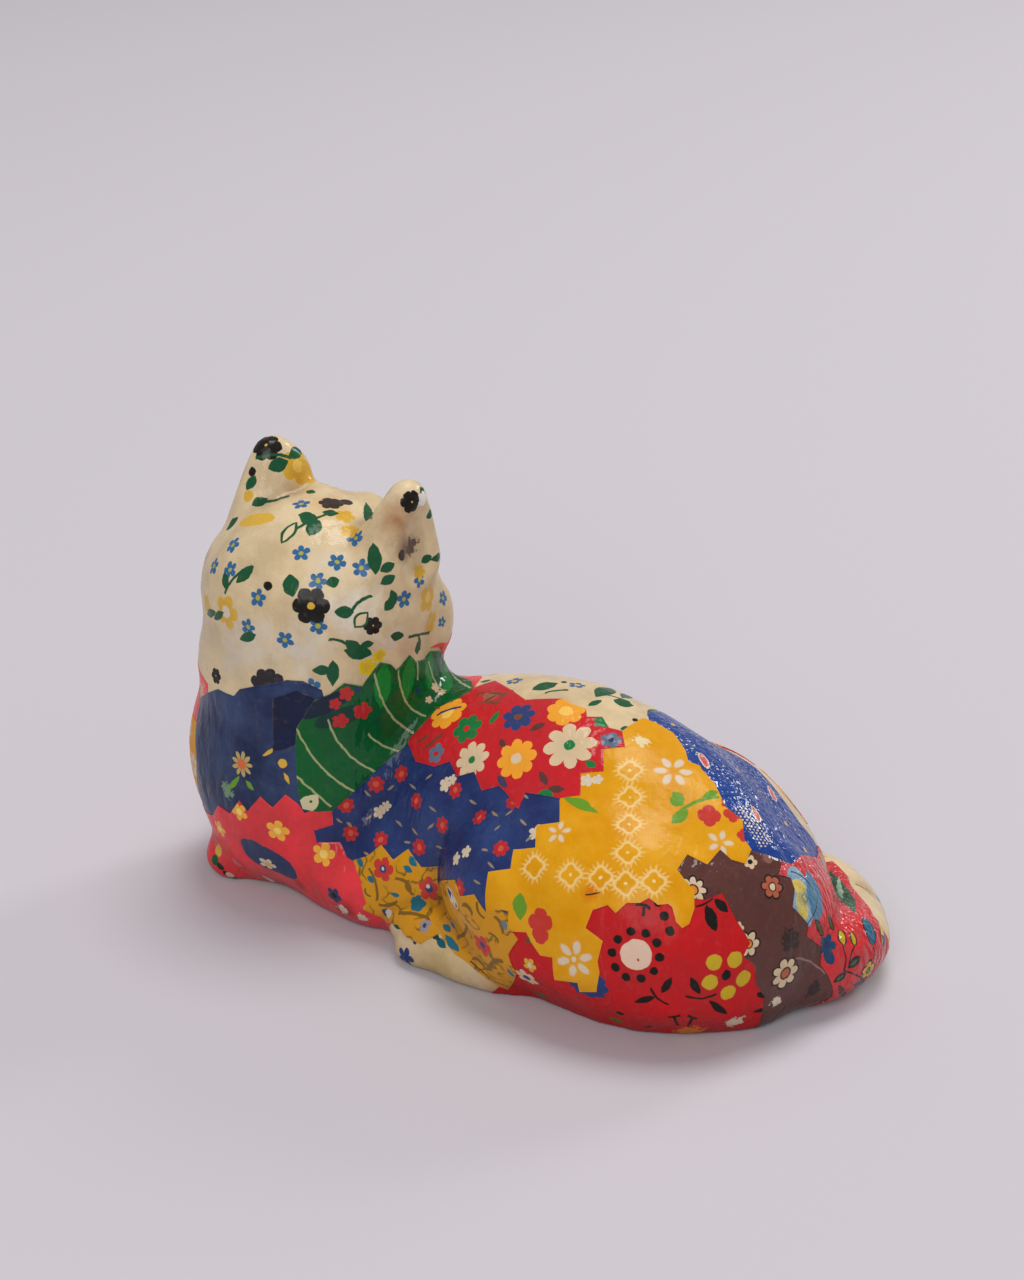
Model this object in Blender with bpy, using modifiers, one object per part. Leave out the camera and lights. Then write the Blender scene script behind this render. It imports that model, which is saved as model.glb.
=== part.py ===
"""A reclining cat, built up in papier-mache and covered with scraps of printed cotton.

The cat lies on its belly along X with its chest towards -X and its rump towards +X.
Its head is turned square to the body and looks along +Y, and its tail is wrapped
round the far hip. It stands on a flat underside at z = 0, centred on the origin.
"""

import math

import bmesh
import bpy
from mathutils import Euler, Matrix, Vector

# Real length over all, from the chest to the tail.
CAT_LENGTH = 0.150

# The figure is drawn in form units, in which it is this long. One unit is about 1 mm.
FORM_LENGTH = 149.0
FORM_UNIT = CAT_LENGTH / FORM_LENGTH

NAME = "patchwork_cat"
COTTON_COLOUR = (0.55, 0.30, 0.16, 1.0)
VARNISH_ROUGHNESS = 0.3

# Resolution of the skin, in form units, and how much it is rounded.
TRUNK_VOXEL = 1.6
DETAIL_VOXEL = 1.0
TRUNK_SMOOTHING = 22
DETAIL_SMOOTHING = 6
SMOOTHING_FACTOR = 0.5
TRIANGLES = 8000
BALL_SEGMENTS = 40
CUT_TOLERANCE = 1e-4

# Each mass: centre x, y, z; half sizes along its own axes; turn about z in degrees.
# The floor masses fill the underside where the haunch, tail and paws leave clefts.
TRUNK = {
    "barrel": ((15, 2, 20), (57, 28, 30.5), 0),
    "rump": ((43, 2, 15), (31, 30, 27), 0),
    "chest": ((-43, -12, 26), (28, 26, 36), 0),
    "neck": ((-42, -12, 48), (26, 25, 25), 0),
    "skull": ((-41, -12.5, 64.5), (26, 23.5, 20), 0),
    "near_haunch": ((33, -11, 15), (37, 24, 27), 0),
    "far_haunch": ((34, 15, 17), (34, 20, 24), 0),
    "near_flank": ((-12, -16, 12), (20, 14, 14), 0),
    "near_forearm": ((-30, -22.5, 8), (25, 12.5, 12), 3),
}
DETAILS = {
    "near_thigh": ((22, -15.5, 20), (22, 19.5, 17.5), 0),
    "near_foot": ((8.5, -25.5, 4.5), (19.5, 8, 8), -1),
    "near_paw": ((-53, -26, 5), (8.5, 7, 6), 0),
    "far_paw": ((-58, 1, 5), (8.5, 7, 6), 0),
    "far_forearm": ((-38, 8, 8), (20, 10, 10), 0),
    "far_foot": ((8, 29, 5), (16, 7, 7), -6),
    "near_cheek": ((-27.5, -2.5, 57), (10, 12, 11), 0),
    "far_cheek": ((-54.5, -2.5, 57), (10, 12, 11), 0),
    "near_pad": ((-36.5, 6.5, 54), (7.5, 8.5, 7), 0),
    "far_pad": ((-45.5, 6.5, 54), (7.5, 8.5, 7), 0),
    "bridge": ((-41, 4.5, 62), (6, 9, 8), 0),
    "chin": ((-41, 6.5, 48), (6.5, 7, 5), 0),
    "near_eye": ((-31, 6.2, 66.5), (5, 3, 3.6), -24),
    "far_eye": ((-51, 6.2, 66.5), (5, 3, 3.6), 24),
    "nose": ((-41, 13.6, 59.5), (3.4, 2.6, 2.2), 0),
    "belly": ((8, -2, 0), (50, 25, 8), 0),
    "chest_floor": ((-42, -10, 0), (19, 18, 8), 0),
    "tail_floor": ((42, 21, 1), (28, 17, 6), 0),
}

# Each ear: middle of its base, its tip, half sizes of the base, the side its hollow faces.
EARS = {
    "near_ear": ((-23, -9.5, 74), (-19, -9.5, 92.5), (8.5, 11), 1),
    "far_ear": ((-54.5, -12, 75), (-53.5, -12, 94.5), (9, 11.5), -1),
}
EAR_MASSES = 9
EAR_TIP_SHARE = 0.42
EAR_HEIGHT_SHARE = 0.8
EAR_HOLLOW = (6.0, 8.5, 12.0)
HOLLOW_RISE = 0.3
HOLLOW_OFFSET = 1.2

# The tail: an arc round the rump, then a straight run along the far hip.
TAIL_MASSES = 30
TAIL_ROOT_RADIUS = 9.5
TAIL_TIP_RADIUS = 5.0
TAIL_ARC_CENTRE = (45.5, 16)
TAIL_ARC_RADII = (24, 20)
TAIL_ARC_DEGREES = (-30, 90)
TAIL_ARC_SHARE = 0.5
TAIL_RUN = (-46, -3)
TAIL_SINK = 0.95


def collection(name):
    """A new collection, linked to the scene."""
    made = bpy.data.collections.new(name)
    bpy.context.scene.collection.children.link(made)
    return made


def unit_ball():
    """A sphere of radius 1, the start of every mass."""
    bm = bmesh.new()
    bmesh.ops.create_uvsphere(
        bm, u_segments=BALL_SEGMENTS, v_segments=BALL_SEGMENTS // 2, radius=1.0
    )
    mesh = bpy.data.meshes.new("ball")
    bm.to_mesh(mesh)
    bm.free()
    return mesh


def placing(centre, half_sizes, turn=0):
    """The matrix that stretches the unit ball, turns it about Z and puts it in place."""
    turned = Euler((0, 0, math.radians(turn))).to_matrix().to_4x4()
    return Matrix.Translation(Vector(centre)) @ turned @ Matrix.Diagonal((*half_sizes, 1.0))


def massed(name, placings, into, start=None):
    """An object of overlapping balls, one for each placing, added to the mesh start."""
    ball = unit_ball()
    bm = bmesh.new()
    if start:
        bm.from_mesh(start)
    for matrix in placings:
        copy = ball.copy()
        copy.transform(matrix)
        bm.from_mesh(copy)
    mesh = bpy.data.meshes.new(name)
    bm.to_mesh(mesh)
    bm.free()
    obj = bpy.data.objects.new(name, mesh)
    into.objects.link(obj)
    return obj


def apply_modifiers(obj):
    """Keeps an object's evaluated mesh and drops its modifiers."""
    evaluated = obj.evaluated_get(bpy.context.evaluated_depsgraph_get())
    mesh = bpy.data.meshes.new_from_object(evaluated)
    obj.modifiers.clear()
    obj.data = mesh


def fuse(obj, voxel):
    """Melts an object's overlapping masses into one skin."""
    remesh = obj.modifiers.new("fuse", "REMESH")
    remesh.mode = "VOXEL"
    remesh.voxel_size = voxel
    apply_modifiers(obj)


def soften(obj, rounds):
    """Rounds the creases where masses meet."""
    smooth = obj.modifiers.new("soften", "SMOOTH")
    smooth.factor = SMOOTHING_FACTOR
    smooth.iterations = rounds
    apply_modifiers(obj)


def carve(obj, placings, cutters):
    """Cuts a hollow out of obj for each placing."""
    cutter = massed("hollows", placings, cutters)
    cutter.hide_render = True
    cutter.display_type = "WIRE"
    cut = obj.modifiers.new("carve", "BOOLEAN")
    cut.operation = "DIFFERENCE"
    cut.object = cutter
    apply_modifiers(obj)
    bpy.data.objects.remove(cutter)


def thin(obj, triangles):
    """Spends the triangles where the skin bends most."""
    decimate = obj.modifiers.new("thin", "DECIMATE")
    decimate.ratio = triangles / (2 * len(obj.data.polygons))
    apply_modifiers(obj)


def tail_placings():
    """A tapered tail from the rump round the far hip, as a chain of overlapping masses."""
    placings = []
    start, end = TAIL_ARC_DEGREES
    for i in range(TAIL_MASSES):
        t = i / (TAIL_MASSES - 1)
        along_arc = min(t / TAIL_ARC_SHARE, 1.0)
        along_run = max(t - TAIL_ARC_SHARE, 0.0) / (1 - TAIL_ARC_SHARE)
        angle = math.radians(start + (end - start) * along_arc)
        radius = TAIL_ROOT_RADIUS + (TAIL_TIP_RADIUS - TAIL_ROOT_RADIUS) * t
        x = TAIL_ARC_CENTRE[0] + TAIL_ARC_RADII[0] * math.cos(angle) + TAIL_RUN[0] * along_run
        y = TAIL_ARC_CENTRE[1] + TAIL_ARC_RADII[1] * math.sin(angle) + TAIL_RUN[1] * along_run
        placings.append(placing((x, y, radius * TAIL_SINK), (radius, radius, radius)))
    return placings


def ear_placings(base, tip, half_sizes, side):
    """A blunt ear: masses that shrink from its base on the skull to its tip."""
    placings = []
    width, depth = half_sizes
    height = depth * EAR_HEIGHT_SHARE
    for i in range(EAR_MASSES):
        t = i / (EAR_MASSES - 1)
        size = 1 - (1 - EAR_TIP_SHARE) * t
        middle = Vector(base).lerp(Vector(tip), t)
        middle.z -= EAR_TIP_SHARE * height * t
        placings.append(placing(middle, (width * size, depth * size, height * size)))
    return placings


def ear_hollow(base, tip, half_sizes, side):
    """The scoop in an ear's outer face."""
    middle = Vector(base).lerp(Vector(tip), HOLLOW_RISE)
    middle.x += side * half_sizes[0] * HOLLOW_OFFSET
    return placing(middle, EAR_HOLLOW)


def island(start):
    """All the vertices joined to start by edges."""
    found = {start}
    waiting = [start]
    while waiting:
        vertex = waiting.pop()
        for edge in vertex.link_edges:
            other = edge.other_vert(vertex)
            if other not in found:
                found.add(other)
                waiting.append(other)
    return found


def drop_pockets(bm):
    """Keeps the skin that carries the highest point and fills the pockets between masses."""
    skin = island(max(bm.verts, key=lambda v: v.co.z))
    pockets = [v for v in bm.verts if v not in skin]
    bmesh.ops.delete(bm, geom=pockets, context="VERTS")


def cut_flat(bm):
    """Cuts the figure off flat at z = 0 and closes the cut."""
    bmesh.ops.bisect_plane(
        bm,
        geom=bm.verts[:] + bm.edges[:] + bm.faces[:],
        dist=CUT_TOLERANCE,
        plane_co=(0, 0, 0),
        plane_no=(0, 0, -1),
        clear_outer=True,
    )
    drop_pockets(bm)
    rim = [e for e in bm.edges if e.is_boundary]
    bmesh.ops.contextual_create(bm, geom=rim)
    bmesh.ops.triangulate(bm, faces=bm.faces[:])


def centre(bm):
    """Moves the figure so that its bounding box is centred over the origin."""
    xs = [v.co.x for v in bm.verts]
    ys = [v.co.y for v in bm.verts]
    shift = Vector(((min(xs) + max(xs)) / 2, (min(ys) + max(ys)) / 2, 0))
    bmesh.ops.translate(bm, vec=-shift, verts=bm.verts[:])


def stand(obj):
    """Puts the finished form on its underside, at its real size."""
    bm = bmesh.new()
    bm.from_mesh(obj.data)
    cut_flat(bm)
    centre(bm)
    bmesh.ops.scale(bm, vec=(FORM_UNIT, FORM_UNIT, FORM_UNIT), verts=bm.verts[:])
    bmesh.ops.recalc_face_normals(bm, faces=bm.faces[:])
    bm.to_mesh(obj.data)
    bm.free()


def varnished_cotton():
    """The scraps' average colour under clear varnish."""
    material = bpy.data.materials.new("varnished_cotton")
    material.use_nodes = True
    shader = material.node_tree.nodes["Principled BSDF"]
    shader.inputs["Base Color"].default_value = COTTON_COLOUR
    shader.inputs["Roughness"].default_value = VARNISH_ROUGHNESS
    shader.inputs["Metallic"].default_value = 0.0
    return material


def build_cat(parts, cutters):
    """The whole figure as one solid on a flat underside."""
    trunk = massed("trunk", [placing(*mass) for mass in TRUNK.values()], cutters)
    fuse(trunk, TRUNK_VOXEL)
    soften(trunk, TRUNK_SMOOTHING)

    details = [placing(*mass) for mass in DETAILS.values()] + tail_placings()
    for ear in EARS.values():
        details += ear_placings(*ear)
    cat = massed(NAME, details, parts, start=trunk.data)
    bpy.data.objects.remove(trunk)
    fuse(cat, DETAIL_VOXEL)
    carve(cat, [ear_hollow(*ear) for ear in EARS.values()], cutters)
    soften(cat, DETAIL_SMOOTHING)
    thin(cat, TRIANGLES)
    stand(cat)
    return cat


def main():
    for obj in list(bpy.data.objects):
        bpy.data.objects.remove(obj)
    cat = build_cat(collection(NAME), collection("cutters"))
    cat.data.materials.append(varnished_cotton())
    cat.data.shade_smooth()


main()
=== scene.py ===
"""Dresses the papier-mache cat in pinked scraps of printed cotton under clear varnish.

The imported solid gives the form. A finer paper skin is made from it, scraps of cloth are
cut to outlines and laid on that skin, and every scrap has a woven, printed material.
"""

import math
import random

import bmesh
import bpy
import numpy as np
from mathutils import Matrix, Vector, noise
from mathutils.bvhtree import BVHTree
from mathutils.geometry import delaunay_2d_cdt


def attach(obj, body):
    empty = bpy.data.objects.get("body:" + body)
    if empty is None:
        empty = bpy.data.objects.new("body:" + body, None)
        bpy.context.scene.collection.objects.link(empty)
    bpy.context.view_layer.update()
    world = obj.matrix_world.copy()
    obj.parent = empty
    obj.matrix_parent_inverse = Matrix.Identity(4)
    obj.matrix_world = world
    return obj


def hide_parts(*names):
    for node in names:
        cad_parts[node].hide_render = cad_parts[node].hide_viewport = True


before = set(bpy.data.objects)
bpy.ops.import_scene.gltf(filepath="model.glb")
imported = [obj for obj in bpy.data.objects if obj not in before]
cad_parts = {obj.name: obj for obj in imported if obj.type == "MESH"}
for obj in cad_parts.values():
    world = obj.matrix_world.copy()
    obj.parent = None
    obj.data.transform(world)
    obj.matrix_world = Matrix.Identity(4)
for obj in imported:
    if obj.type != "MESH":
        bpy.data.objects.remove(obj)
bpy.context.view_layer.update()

NODE = "patchwork_cat"
BODY = "root"
MM = 0.001

# The photograph's frame in pixels and the camera that fits it.
PHOTO_WIDTH = 1024
PHOTO_HEIGHT = 1280
FOCAL_PIXELS = 2600
AZIMUTH = 40
ELEVATION = 24
TARGET = Vector((-0.0038, -0.0027, 0.0604))
DISTANCE = 0.5235
SENSOR = 36.0

# The paper skin, in metres.
SKIN_VOXEL = 0.0008
SKIN_SMOOTHING = 6
SKIN_SOFTNESS = 0.5
HOLLOW_STEPS = 16
RAY_STEPS = 60
RAY_STEP = 0.002
LUMPS = ((0.011, 0.00022), (0.0045, 0.00008))
# Where the paper is fuller or thinner than the solid: place, reach and move, in millimetres.
NUDGES = (
    ((8, 2, 50), 30, (0, 0.4, 1.6)),
    ((58, 18, 34), 24, (-0.8, -1.0, -2.6)),
    ((64, 28, 18), 16, (-0.6, -0.6, -1.6)),
    ((-67, -32, 30), 16, (-0.6, -0.3, 0)),
    ((-61, -34, 11), 10, (0.8, 0.5, -1.3)),
    ((-33, -36, 0), 18, (-3.0, 4.2, 0)),
    ((-44, -33, 0), 12, (-2.2, 3.0, 0)),
    ((-63, -30, 0), 10, (1.6, -2.4, 0)),
    ((-4, -37, 0), 8, (-2.0, -2.0, 0)),
    ((30, -35, 0), 14, (-3.4, 4.8, 0)),
    ((44, -32, 0), 18, (-2.6, 3.6, 0)),
    ((57, -23, 0), 12, (-1.4, 2.0, 0)),
    ((67, -7, 0), 10, (0.8, -1.2, 0)),
    ((-64, -14, 78), 14, (1.4, 0, 0.3)),
    ((-61, -29, 78), 10, (1.1, 0.6, 0)),
    ((-54, -10, 87), 8, (1.2, 0.8, 1.4)),
    ((-48, -10, 84), 7, (0, 0, 0.9)),
    ((-41, -2, 81), 7, (0, 0, 1.7)),
    ((-23, 0, 64), 8, (0.4, 0.3, 1.9)),
)

# Cloth, in millimetres.
CLOTH_LIFT = 0.06
LAYER_LIFT = 0.07
TOOTH_PITCH = 6.5
TOOTH_DEPTH = 2.6
OUTLINE_STEP = 0.7
CHART_MARGIN = 5.0
SLIVER = 1e-10
PINKED = "pinked"
GROUND = -1
GROUND_OVERRUN = 3.0
LOWEST_PLACE = 0.3
STEEP = 0.2
FLAT_SLIVER = 1e-4
MERGE_GAP = 1e-5
TINY = 1e-9


# Camera

def camera_axes():
    """The camera's right, up and back directions."""
    a = math.radians(AZIMUTH)
    e = math.radians(ELEVATION)
    back = Vector((math.sin(a) * math.cos(e), -math.cos(a) * math.cos(e), math.sin(e)))
    right = Vector((math.cos(a), math.sin(a), 0))
    return right, back.cross(right), back


RIGHT, UP, BACK = camera_axes()
EYE = TARGET + BACK * DISTANCE


def sight(px, py):
    """The direction from the camera through a pixel of the photograph."""
    across = (px - PHOTO_WIDTH / 2) / FOCAL_PIXELS
    down = (py - PHOTO_HEIGHT / 2) / FOCAL_PIXELS
    return (RIGHT * across - UP * down - BACK).normalized()


def linked(name, data):
    """A new object in the scene."""
    obj = bpy.data.objects.new(name, data)
    bpy.context.scene.collection.objects.link(obj)
    return obj


def make_camera():
    data = bpy.data.cameras.new("camera")
    data.sensor_width = SENSOR
    data.lens = FOCAL_PIXELS * SENSOR / PHOTO_HEIGHT
    data.clip_start = 0.01
    camera = linked("camera", data)
    camera.matrix_world = Matrix.Translation(EYE) @ Matrix((RIGHT, UP, BACK)).transposed().to_4x4()
    bpy.context.scene.camera = camera


# Paper skin

def evaluated_mesh(obj):
    """An object's mesh with its modifiers applied."""
    graph = bpy.context.evaluated_depsgraph_get()
    return bpy.data.meshes.new_from_object(obj.evaluated_get(graph))


def vectors(items, key):
    """The vectors of a mesh collection as an array."""
    flat = np.empty(len(items) * 3, np.float32)
    items.foreach_get(key, flat)
    return flat.reshape(-1, 3).astype(float)


def skin_mesh():
    """A fine, even skin with the solid's form and the paper's gentle lumps."""
    rough = linked("rough_skin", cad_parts[NODE].data.copy())
    remesh = rough.modifiers.new("remesh", "REMESH")
    remesh.mode = "VOXEL"
    remesh.voxel_size = SKIN_VOXEL
    smooth = rough.modifiers.new("smooth", "SMOOTH")
    smooth.factor = SKIN_SOFTNESS
    smooth.iterations = SKIN_SMOOTHING
    mesh = evaluated_mesh(rough)
    bpy.data.objects.remove(rough)
    points = vectors(mesh.vertices, "co")
    normals = vectors(mesh.vertex_normals, "vector")
    for size, height in LUMPS:
        heights = np.array([noise.noise(Vector(p) / size) for p in points]) * height
        points += normals * heights[:, None]
    for place, reach, move in NUDGES:
        gap = np.linalg.norm(points - np.array(place) * MM, axis=1) / (reach * MM)
        ease = np.clip(1 - gap ** 2, 0, 1) ** 2
        points += ease[:, None] * np.array(move) * MM
    points[:, 2] = np.maximum(points[:, 2], 0.0)
    mesh.vertices.foreach_set("co", points.astype(np.float32).ravel())
    mesh.update()
    return mesh


class Skin:
    """The paper skin, with what is needed to find places on it and lay cloth over it."""

    def __init__(self, mesh):
        self.mesh = mesh
        self.points = vectors(mesh.vertices, "co")
        self.normals = vectors(mesh.vertex_normals, "vector")
        self.triangles = triangle_array(mesh)
        self.tree = BVHTree.FromPolygons(self.points.tolist(), self.triangles.tolist())
        self.neighbours = neighbour_lists(mesh)
        self.hollows = hollows(mesh, self.points, self.normals)

    def pixel(self, px, py):
        """The point of the skin that a pixel shows, or the nearest one beside its ray."""
        ray = sight(px, py)
        place, normal, _, _ = self.tree.ray_cast(EYE, ray)
        if place is None:
            steps = [DISTANCE + i * RAY_STEP for i in range(-RAY_STEPS, RAY_STEPS)]
            hits = [self.tree.find_nearest(EYE + ray * step) for step in steps]
            place, normal, _, _ = min(hits, key=lambda hit: hit[3])
        return place, normal

    def near(self, x, y, z):
        """The point of the skin nearest to a place given in millimetres."""
        place, normal, _, _ = self.tree.find_nearest(Vector((x, y, z)) * MM)
        return place, normal

    def locate(self, item):
        """Two numbers are a pixel of the photograph, three are a place in millimetres."""
        if len(item) == 2:
            return self.pixel(*item)
        x, y, z = item
        return self.near(x, y, max(z, LOWEST_PLACE))


def triangle_array(mesh):
    mesh.calc_loop_triangles()
    flat = np.empty(len(mesh.loop_triangles) * 3, np.int32)
    mesh.loop_triangles.foreach_get("vertices", flat)
    return flat.reshape(-1, 3)


def hollows(mesh, points, normals):
    """How far, in millimetres, each point lies below the skin's own local average."""
    flat = np.empty(len(mesh.edges) * 2, np.int32)
    mesh.edges.foreach_get("vertices", flat)
    a, b = flat.reshape(-1, 2).T
    count = np.bincount(np.concatenate([a, b]), minlength=len(points))[:, None]
    smooth = points.copy()
    for _ in range(HOLLOW_STEPS):
        total = np.zeros_like(smooth)
        np.add.at(total, a, smooth[b])
        np.add.at(total, b, smooth[a])
        smooth = total / np.maximum(count, 1)
    return ((smooth - points) * normals).sum(axis=1) / MM


def neighbour_lists(mesh):
    lists = [[] for _ in mesh.vertices]
    for edge in mesh.edges:
        a, b = edge.vertices
        lists[a].append(b)
        lists[b].append(a)
    return lists


# Cutting cloth

class Chart:
    """The skin round a centre, unrolled flat: u and v in millimetres."""

    def __init__(self, skin, centre, normal, reach):
        self.centre = np.array(centre)
        self.normal = np.array(normal.normalized())
        side = RIGHT - normal * RIGHT.dot(normal)
        if side.length < STEEP:
            side = UP - normal * UP.dot(normal)
        self.side = np.array(side.normalized())
        self.rise = np.cross(self.normal, self.side)
        self.skin = skin
        inside = self.connected(skin, reach)
        self.flat = self.unroll(skin.points)
        chosen = inside[skin.triangles].all(axis=1)
        triangles = skin.triangles[chosen]
        a, b, c = (self.flat[triangles[:, i]] for i in range(3))
        (abx, aby), (acx, acy) = (b - a).T, (c - a).T
        area = abx * acy - aby * acx
        self.triangles = triangles[area > FLAT_SLIVER]
        self.vertices = np.unique(self.triangles)
        flat3 = np.column_stack([self.flat, np.zeros(len(self.flat))])
        self.tree = BVHTree.FromPolygons(flat3.tolist(), self.triangles.tolist())

    def connected(self, skin, reach):
        """Marks the vertices within reach that join up with the centre."""
        near = np.linalg.norm(skin.points - self.centre, axis=1) < reach
        start = int(np.argmin(np.linalg.norm(skin.points - self.centre, axis=1)))
        found = np.zeros(len(skin.points), bool)
        found[start] = True
        waiting = [start]
        while waiting:
            for other in skin.neighbours[waiting.pop()]:
                if near[other] and not found[other]:
                    found[other] = True
                    waiting.append(other)
        return found

    def unroll(self, points):
        """Keeps each point's direction from the centre and its straight distance."""
        offset = np.asarray(points, float).reshape(-1, 3) - self.centre
        across = offset @ self.side
        along = offset @ self.rise
        spread = np.maximum(np.hypot(across, along), TINY)
        scale = np.linalg.norm(offset, axis=1) / spread / MM
        return np.column_stack([across * scale, along * scale])

    def raise_up(self, flat):
        """The skin's point, normal and hollowness above each flat point."""
        places = np.empty((len(flat), 3))
        normals = np.empty((len(flat), 3))
        depths = np.empty(len(flat))
        for i, (u, v) in enumerate(flat):
            hit, _, index, _ = self.tree.ray_cast(Vector((u, v, 1)), Vector((0, 0, -1)))
            if index is None:
                hit, _, index, _ = self.tree.find_nearest(Vector((u, v, 0)))
            corners = self.triangles[index]
            weights = barycentric(self.flat[corners], hit)
            places[i] = weights @ self.skin.points[corners]
            normals[i] = weights @ self.skin.normals[corners]
            depths[i] = weights @ self.skin.hollows[corners]
        normals /= np.linalg.norm(normals, axis=1)[:, None]
        return places, normals, depths


def barycentric(corners, hit):
    (ax, ay), (bx, by), (cx, cy) = corners
    area = (bx - ax) * (cy - ay) - (by - ay) * (cx - ax)
    wb = ((hit.x - ax) * (cy - ay) - (hit.y - ay) * (cx - ax)) / area
    wc = ((bx - ax) * (hit.y - ay) - (by - ay) * (hit.x - ax)) / area
    return np.array([1 - wb - wc, wb, wc])


def signed_area(corners):
    x, y = np.asarray(corners).T
    return 0.5 * float(np.dot(x, np.roll(y, -1)) - np.dot(y, np.roll(x, -1)))


def with_teeth(a, b, outward):
    """The points of a pinked edge from a to b, without b."""
    length = float(np.linalg.norm(b - a))
    count = max(1, round(length / TOOTH_PITCH))
    points = []
    for i in range(count):
        points.append(a + (b - a) * (i / count))
        points.append(a + (b - a) * ((i + 0.5) / count) + outward * TOOTH_DEPTH)
    return points


def outline_points(chart, skin, outline):
    """The flat outline, pinked where asked and cut into short steps."""
    corners = []
    pinked = []
    for item in outline:
        if item == PINKED:
            pinked.append(len(corners) - 1)
        else:
            place, _ = skin.locate(item)
            corner = chart.unroll(np.array(place))[0]
            if item[-1] == GROUND:
                corner *= 1 + GROUND_OVERRUN / np.linalg.norm(corner)
            corners.append(corner)
    turn = 1 if signed_area(corners) > 0 else -1
    points = []
    for i, a in enumerate(corners):
        b = corners[(i + 1) % len(corners)]
        step = (b - a) / max(np.linalg.norm(b - a), TINY)
        outward = np.array([step[1], -step[0]]) * turn
        points += with_teeth(a, b, outward) if i in pinked else [a]
    if turn < 0:
        points.reverse()
    fine = []
    for i, a in enumerate(points):
        b = points[(i + 1) % len(points)]
        count = max(1, math.ceil(np.linalg.norm(b - a) / OUTLINE_STEP))
        fine += [a + (b - a) * (j / count) for j in range(count)]
    return np.array(fine)


def inside_outline(points, outline):
    """Which points lie inside a closed outline."""
    x, y = points[:, 0], points[:, 1]
    inside = np.zeros(len(points), bool)
    ends = np.roll(outline, -1, axis=0)
    for (ax, ay), (bx, by) in zip(outline, ends):
        if ay == by:
            continue
        crosses = (ay > y) != (by > y)
        inside ^= crosses & (x < ax + (y - ay) * (bx - ax) / (by - ay))
    return inside


def distance_to(points, outline):
    """The distance from each point to the nearest point of the outline."""
    gaps = points[:, None, :] - outline[None, :, :]
    return np.sqrt((gaps ** 2).sum(axis=2).min(axis=1))


def cut_cloth(name, skin, outline, layer):
    """A scrap of cloth with the given outline, laid on the skin as its own mesh."""
    places = [skin.locate(item) for item in outline if item != PINKED]
    middle = sum((p for p, _ in places), Vector()) / len(places)
    centre, _ = skin.near(*(middle / MM))
    normal = sum((n for _, n in places), Vector()).normalized()
    reach = max((p - centre).length for p, _ in places) + (CHART_MARGIN + TOOTH_DEPTH) * MM
    chart = Chart(skin, centre, normal, reach)
    edge = outline_points(chart, skin, outline)
    candidates = chart.flat[chart.vertices]
    candidates = candidates[inside_outline(candidates, edge)]
    candidates = candidates[distance_to(candidates, edge) > OUTLINE_STEP / 2]
    points = [Vector(p) for p in np.vstack([edge, candidates])]
    loop = list(range(len(edge)))
    flat, _, faces, _, _, _ = delaunay_2d_cdt(points, [], [loop], 1, MERGE_GAP)
    flat = np.array([tuple(p) for p in flat])
    raised, normals, depths = chart.raise_up(flat)
    lift = (CLOTH_LIFT + LAYER_LIFT * layer) * MM
    rim = rim_edges(faces)
    lower = raised - normals * CLOTH_LIFT * MM
    upper = raised + normals * lift
    places = np.vstack([upper, upper, lower])
    count = len(flat)
    faces = faces + [(b + count, a + count, a + 2 * count, b + 2 * count) for a, b in rim]
    mesh = bpy.data.meshes.new(name)
    mesh.from_pydata(places.tolist(), [], faces)
    add_cloth_coordinates(mesh, np.vstack([flat] * 3), edge)
    add_values(mesh, "hollow", np.tile(depths, 3))
    drop_loose_points(mesh)
    mesh.shade_smooth()
    return linked(name, mesh), chart, edge


def rim_edges(faces):
    """The directed edges that only one face uses."""
    used = {(face[i - 1], face[i]) for face in faces for i in range(len(face))}
    return [(a, b) for a, b in sorted(used) if (b, a) not in used]


def drop_loose_points(mesh):
    """Clears points without faces, and faces that shrank to nothing at the ground."""
    bm = bmesh.new()
    bm.from_mesh(mesh)
    slivers = [f for f in bm.faces if f.calc_area() < SLIVER]
    bmesh.ops.delete(bm, geom=slivers, context="FACES_ONLY")
    bmesh.ops.delete(bm, geom=[v for v in bm.verts if not v.link_faces], context="VERTS")
    bm.to_mesh(mesh)
    bm.free()


def add_cloth_coordinates(mesh, flat, edge):
    """Stores the flat coordinates and the distance to the cut edge."""
    layer = mesh.uv_layers.new(name="cloth")
    corners = np.empty(len(mesh.loops), np.int32)
    mesh.loops.foreach_get("vertex_index", corners)
    layer.data.foreach_set("uv", flat[corners].astype(np.float32).ravel())
    add_values(mesh, "hem", distance_to(flat, edge))


def add_values(mesh, name, values):
    data = mesh.attributes.new(name, "FLOAT", "POINT").data
    data.foreach_set("value", values.astype(np.float32))


# Colours as they read on the cloth, red, green and blue out of 255

CREAM = (220, 199, 160)
WHITE = (214, 200, 178)
BLACK = (27, 25, 21)
LEAF = (26, 84, 52)
SKY = (50, 106, 156)
LEMON = (214, 172, 62)
NAVY = (40, 54, 98)
KELLY = (0, 92, 40)
BRIGHT_GREEN = (4, 124, 50)
PALE_LINE = (160, 168, 118)
CORAL = (230, 60, 68)
ORANGE = (216, 130, 46)
AMBER = (238, 162, 46)
STAR = (242, 176, 62)
STAR_CORE = (250, 208, 110)
SCUFF = (126, 62, 46)
APRICOT = (218, 160, 84)
OVAL_BLUE = (46, 60, 94)
INDIGO = (44, 64, 116)
DEEP_INDIGO = (26, 40, 92)
POPPY = (186, 42, 40)
SCARLET = (198, 32, 40)
PETAL = (216, 192, 156)
GREEN_EYE = (26, 118, 62)
YELLOW = (214, 146, 0)
LIGHT_YELLOW = (228, 168, 28)
TRELLIS = (238, 208, 140)
APPLE = (104, 150, 40)
TULIP = (196, 58, 48)
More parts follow.
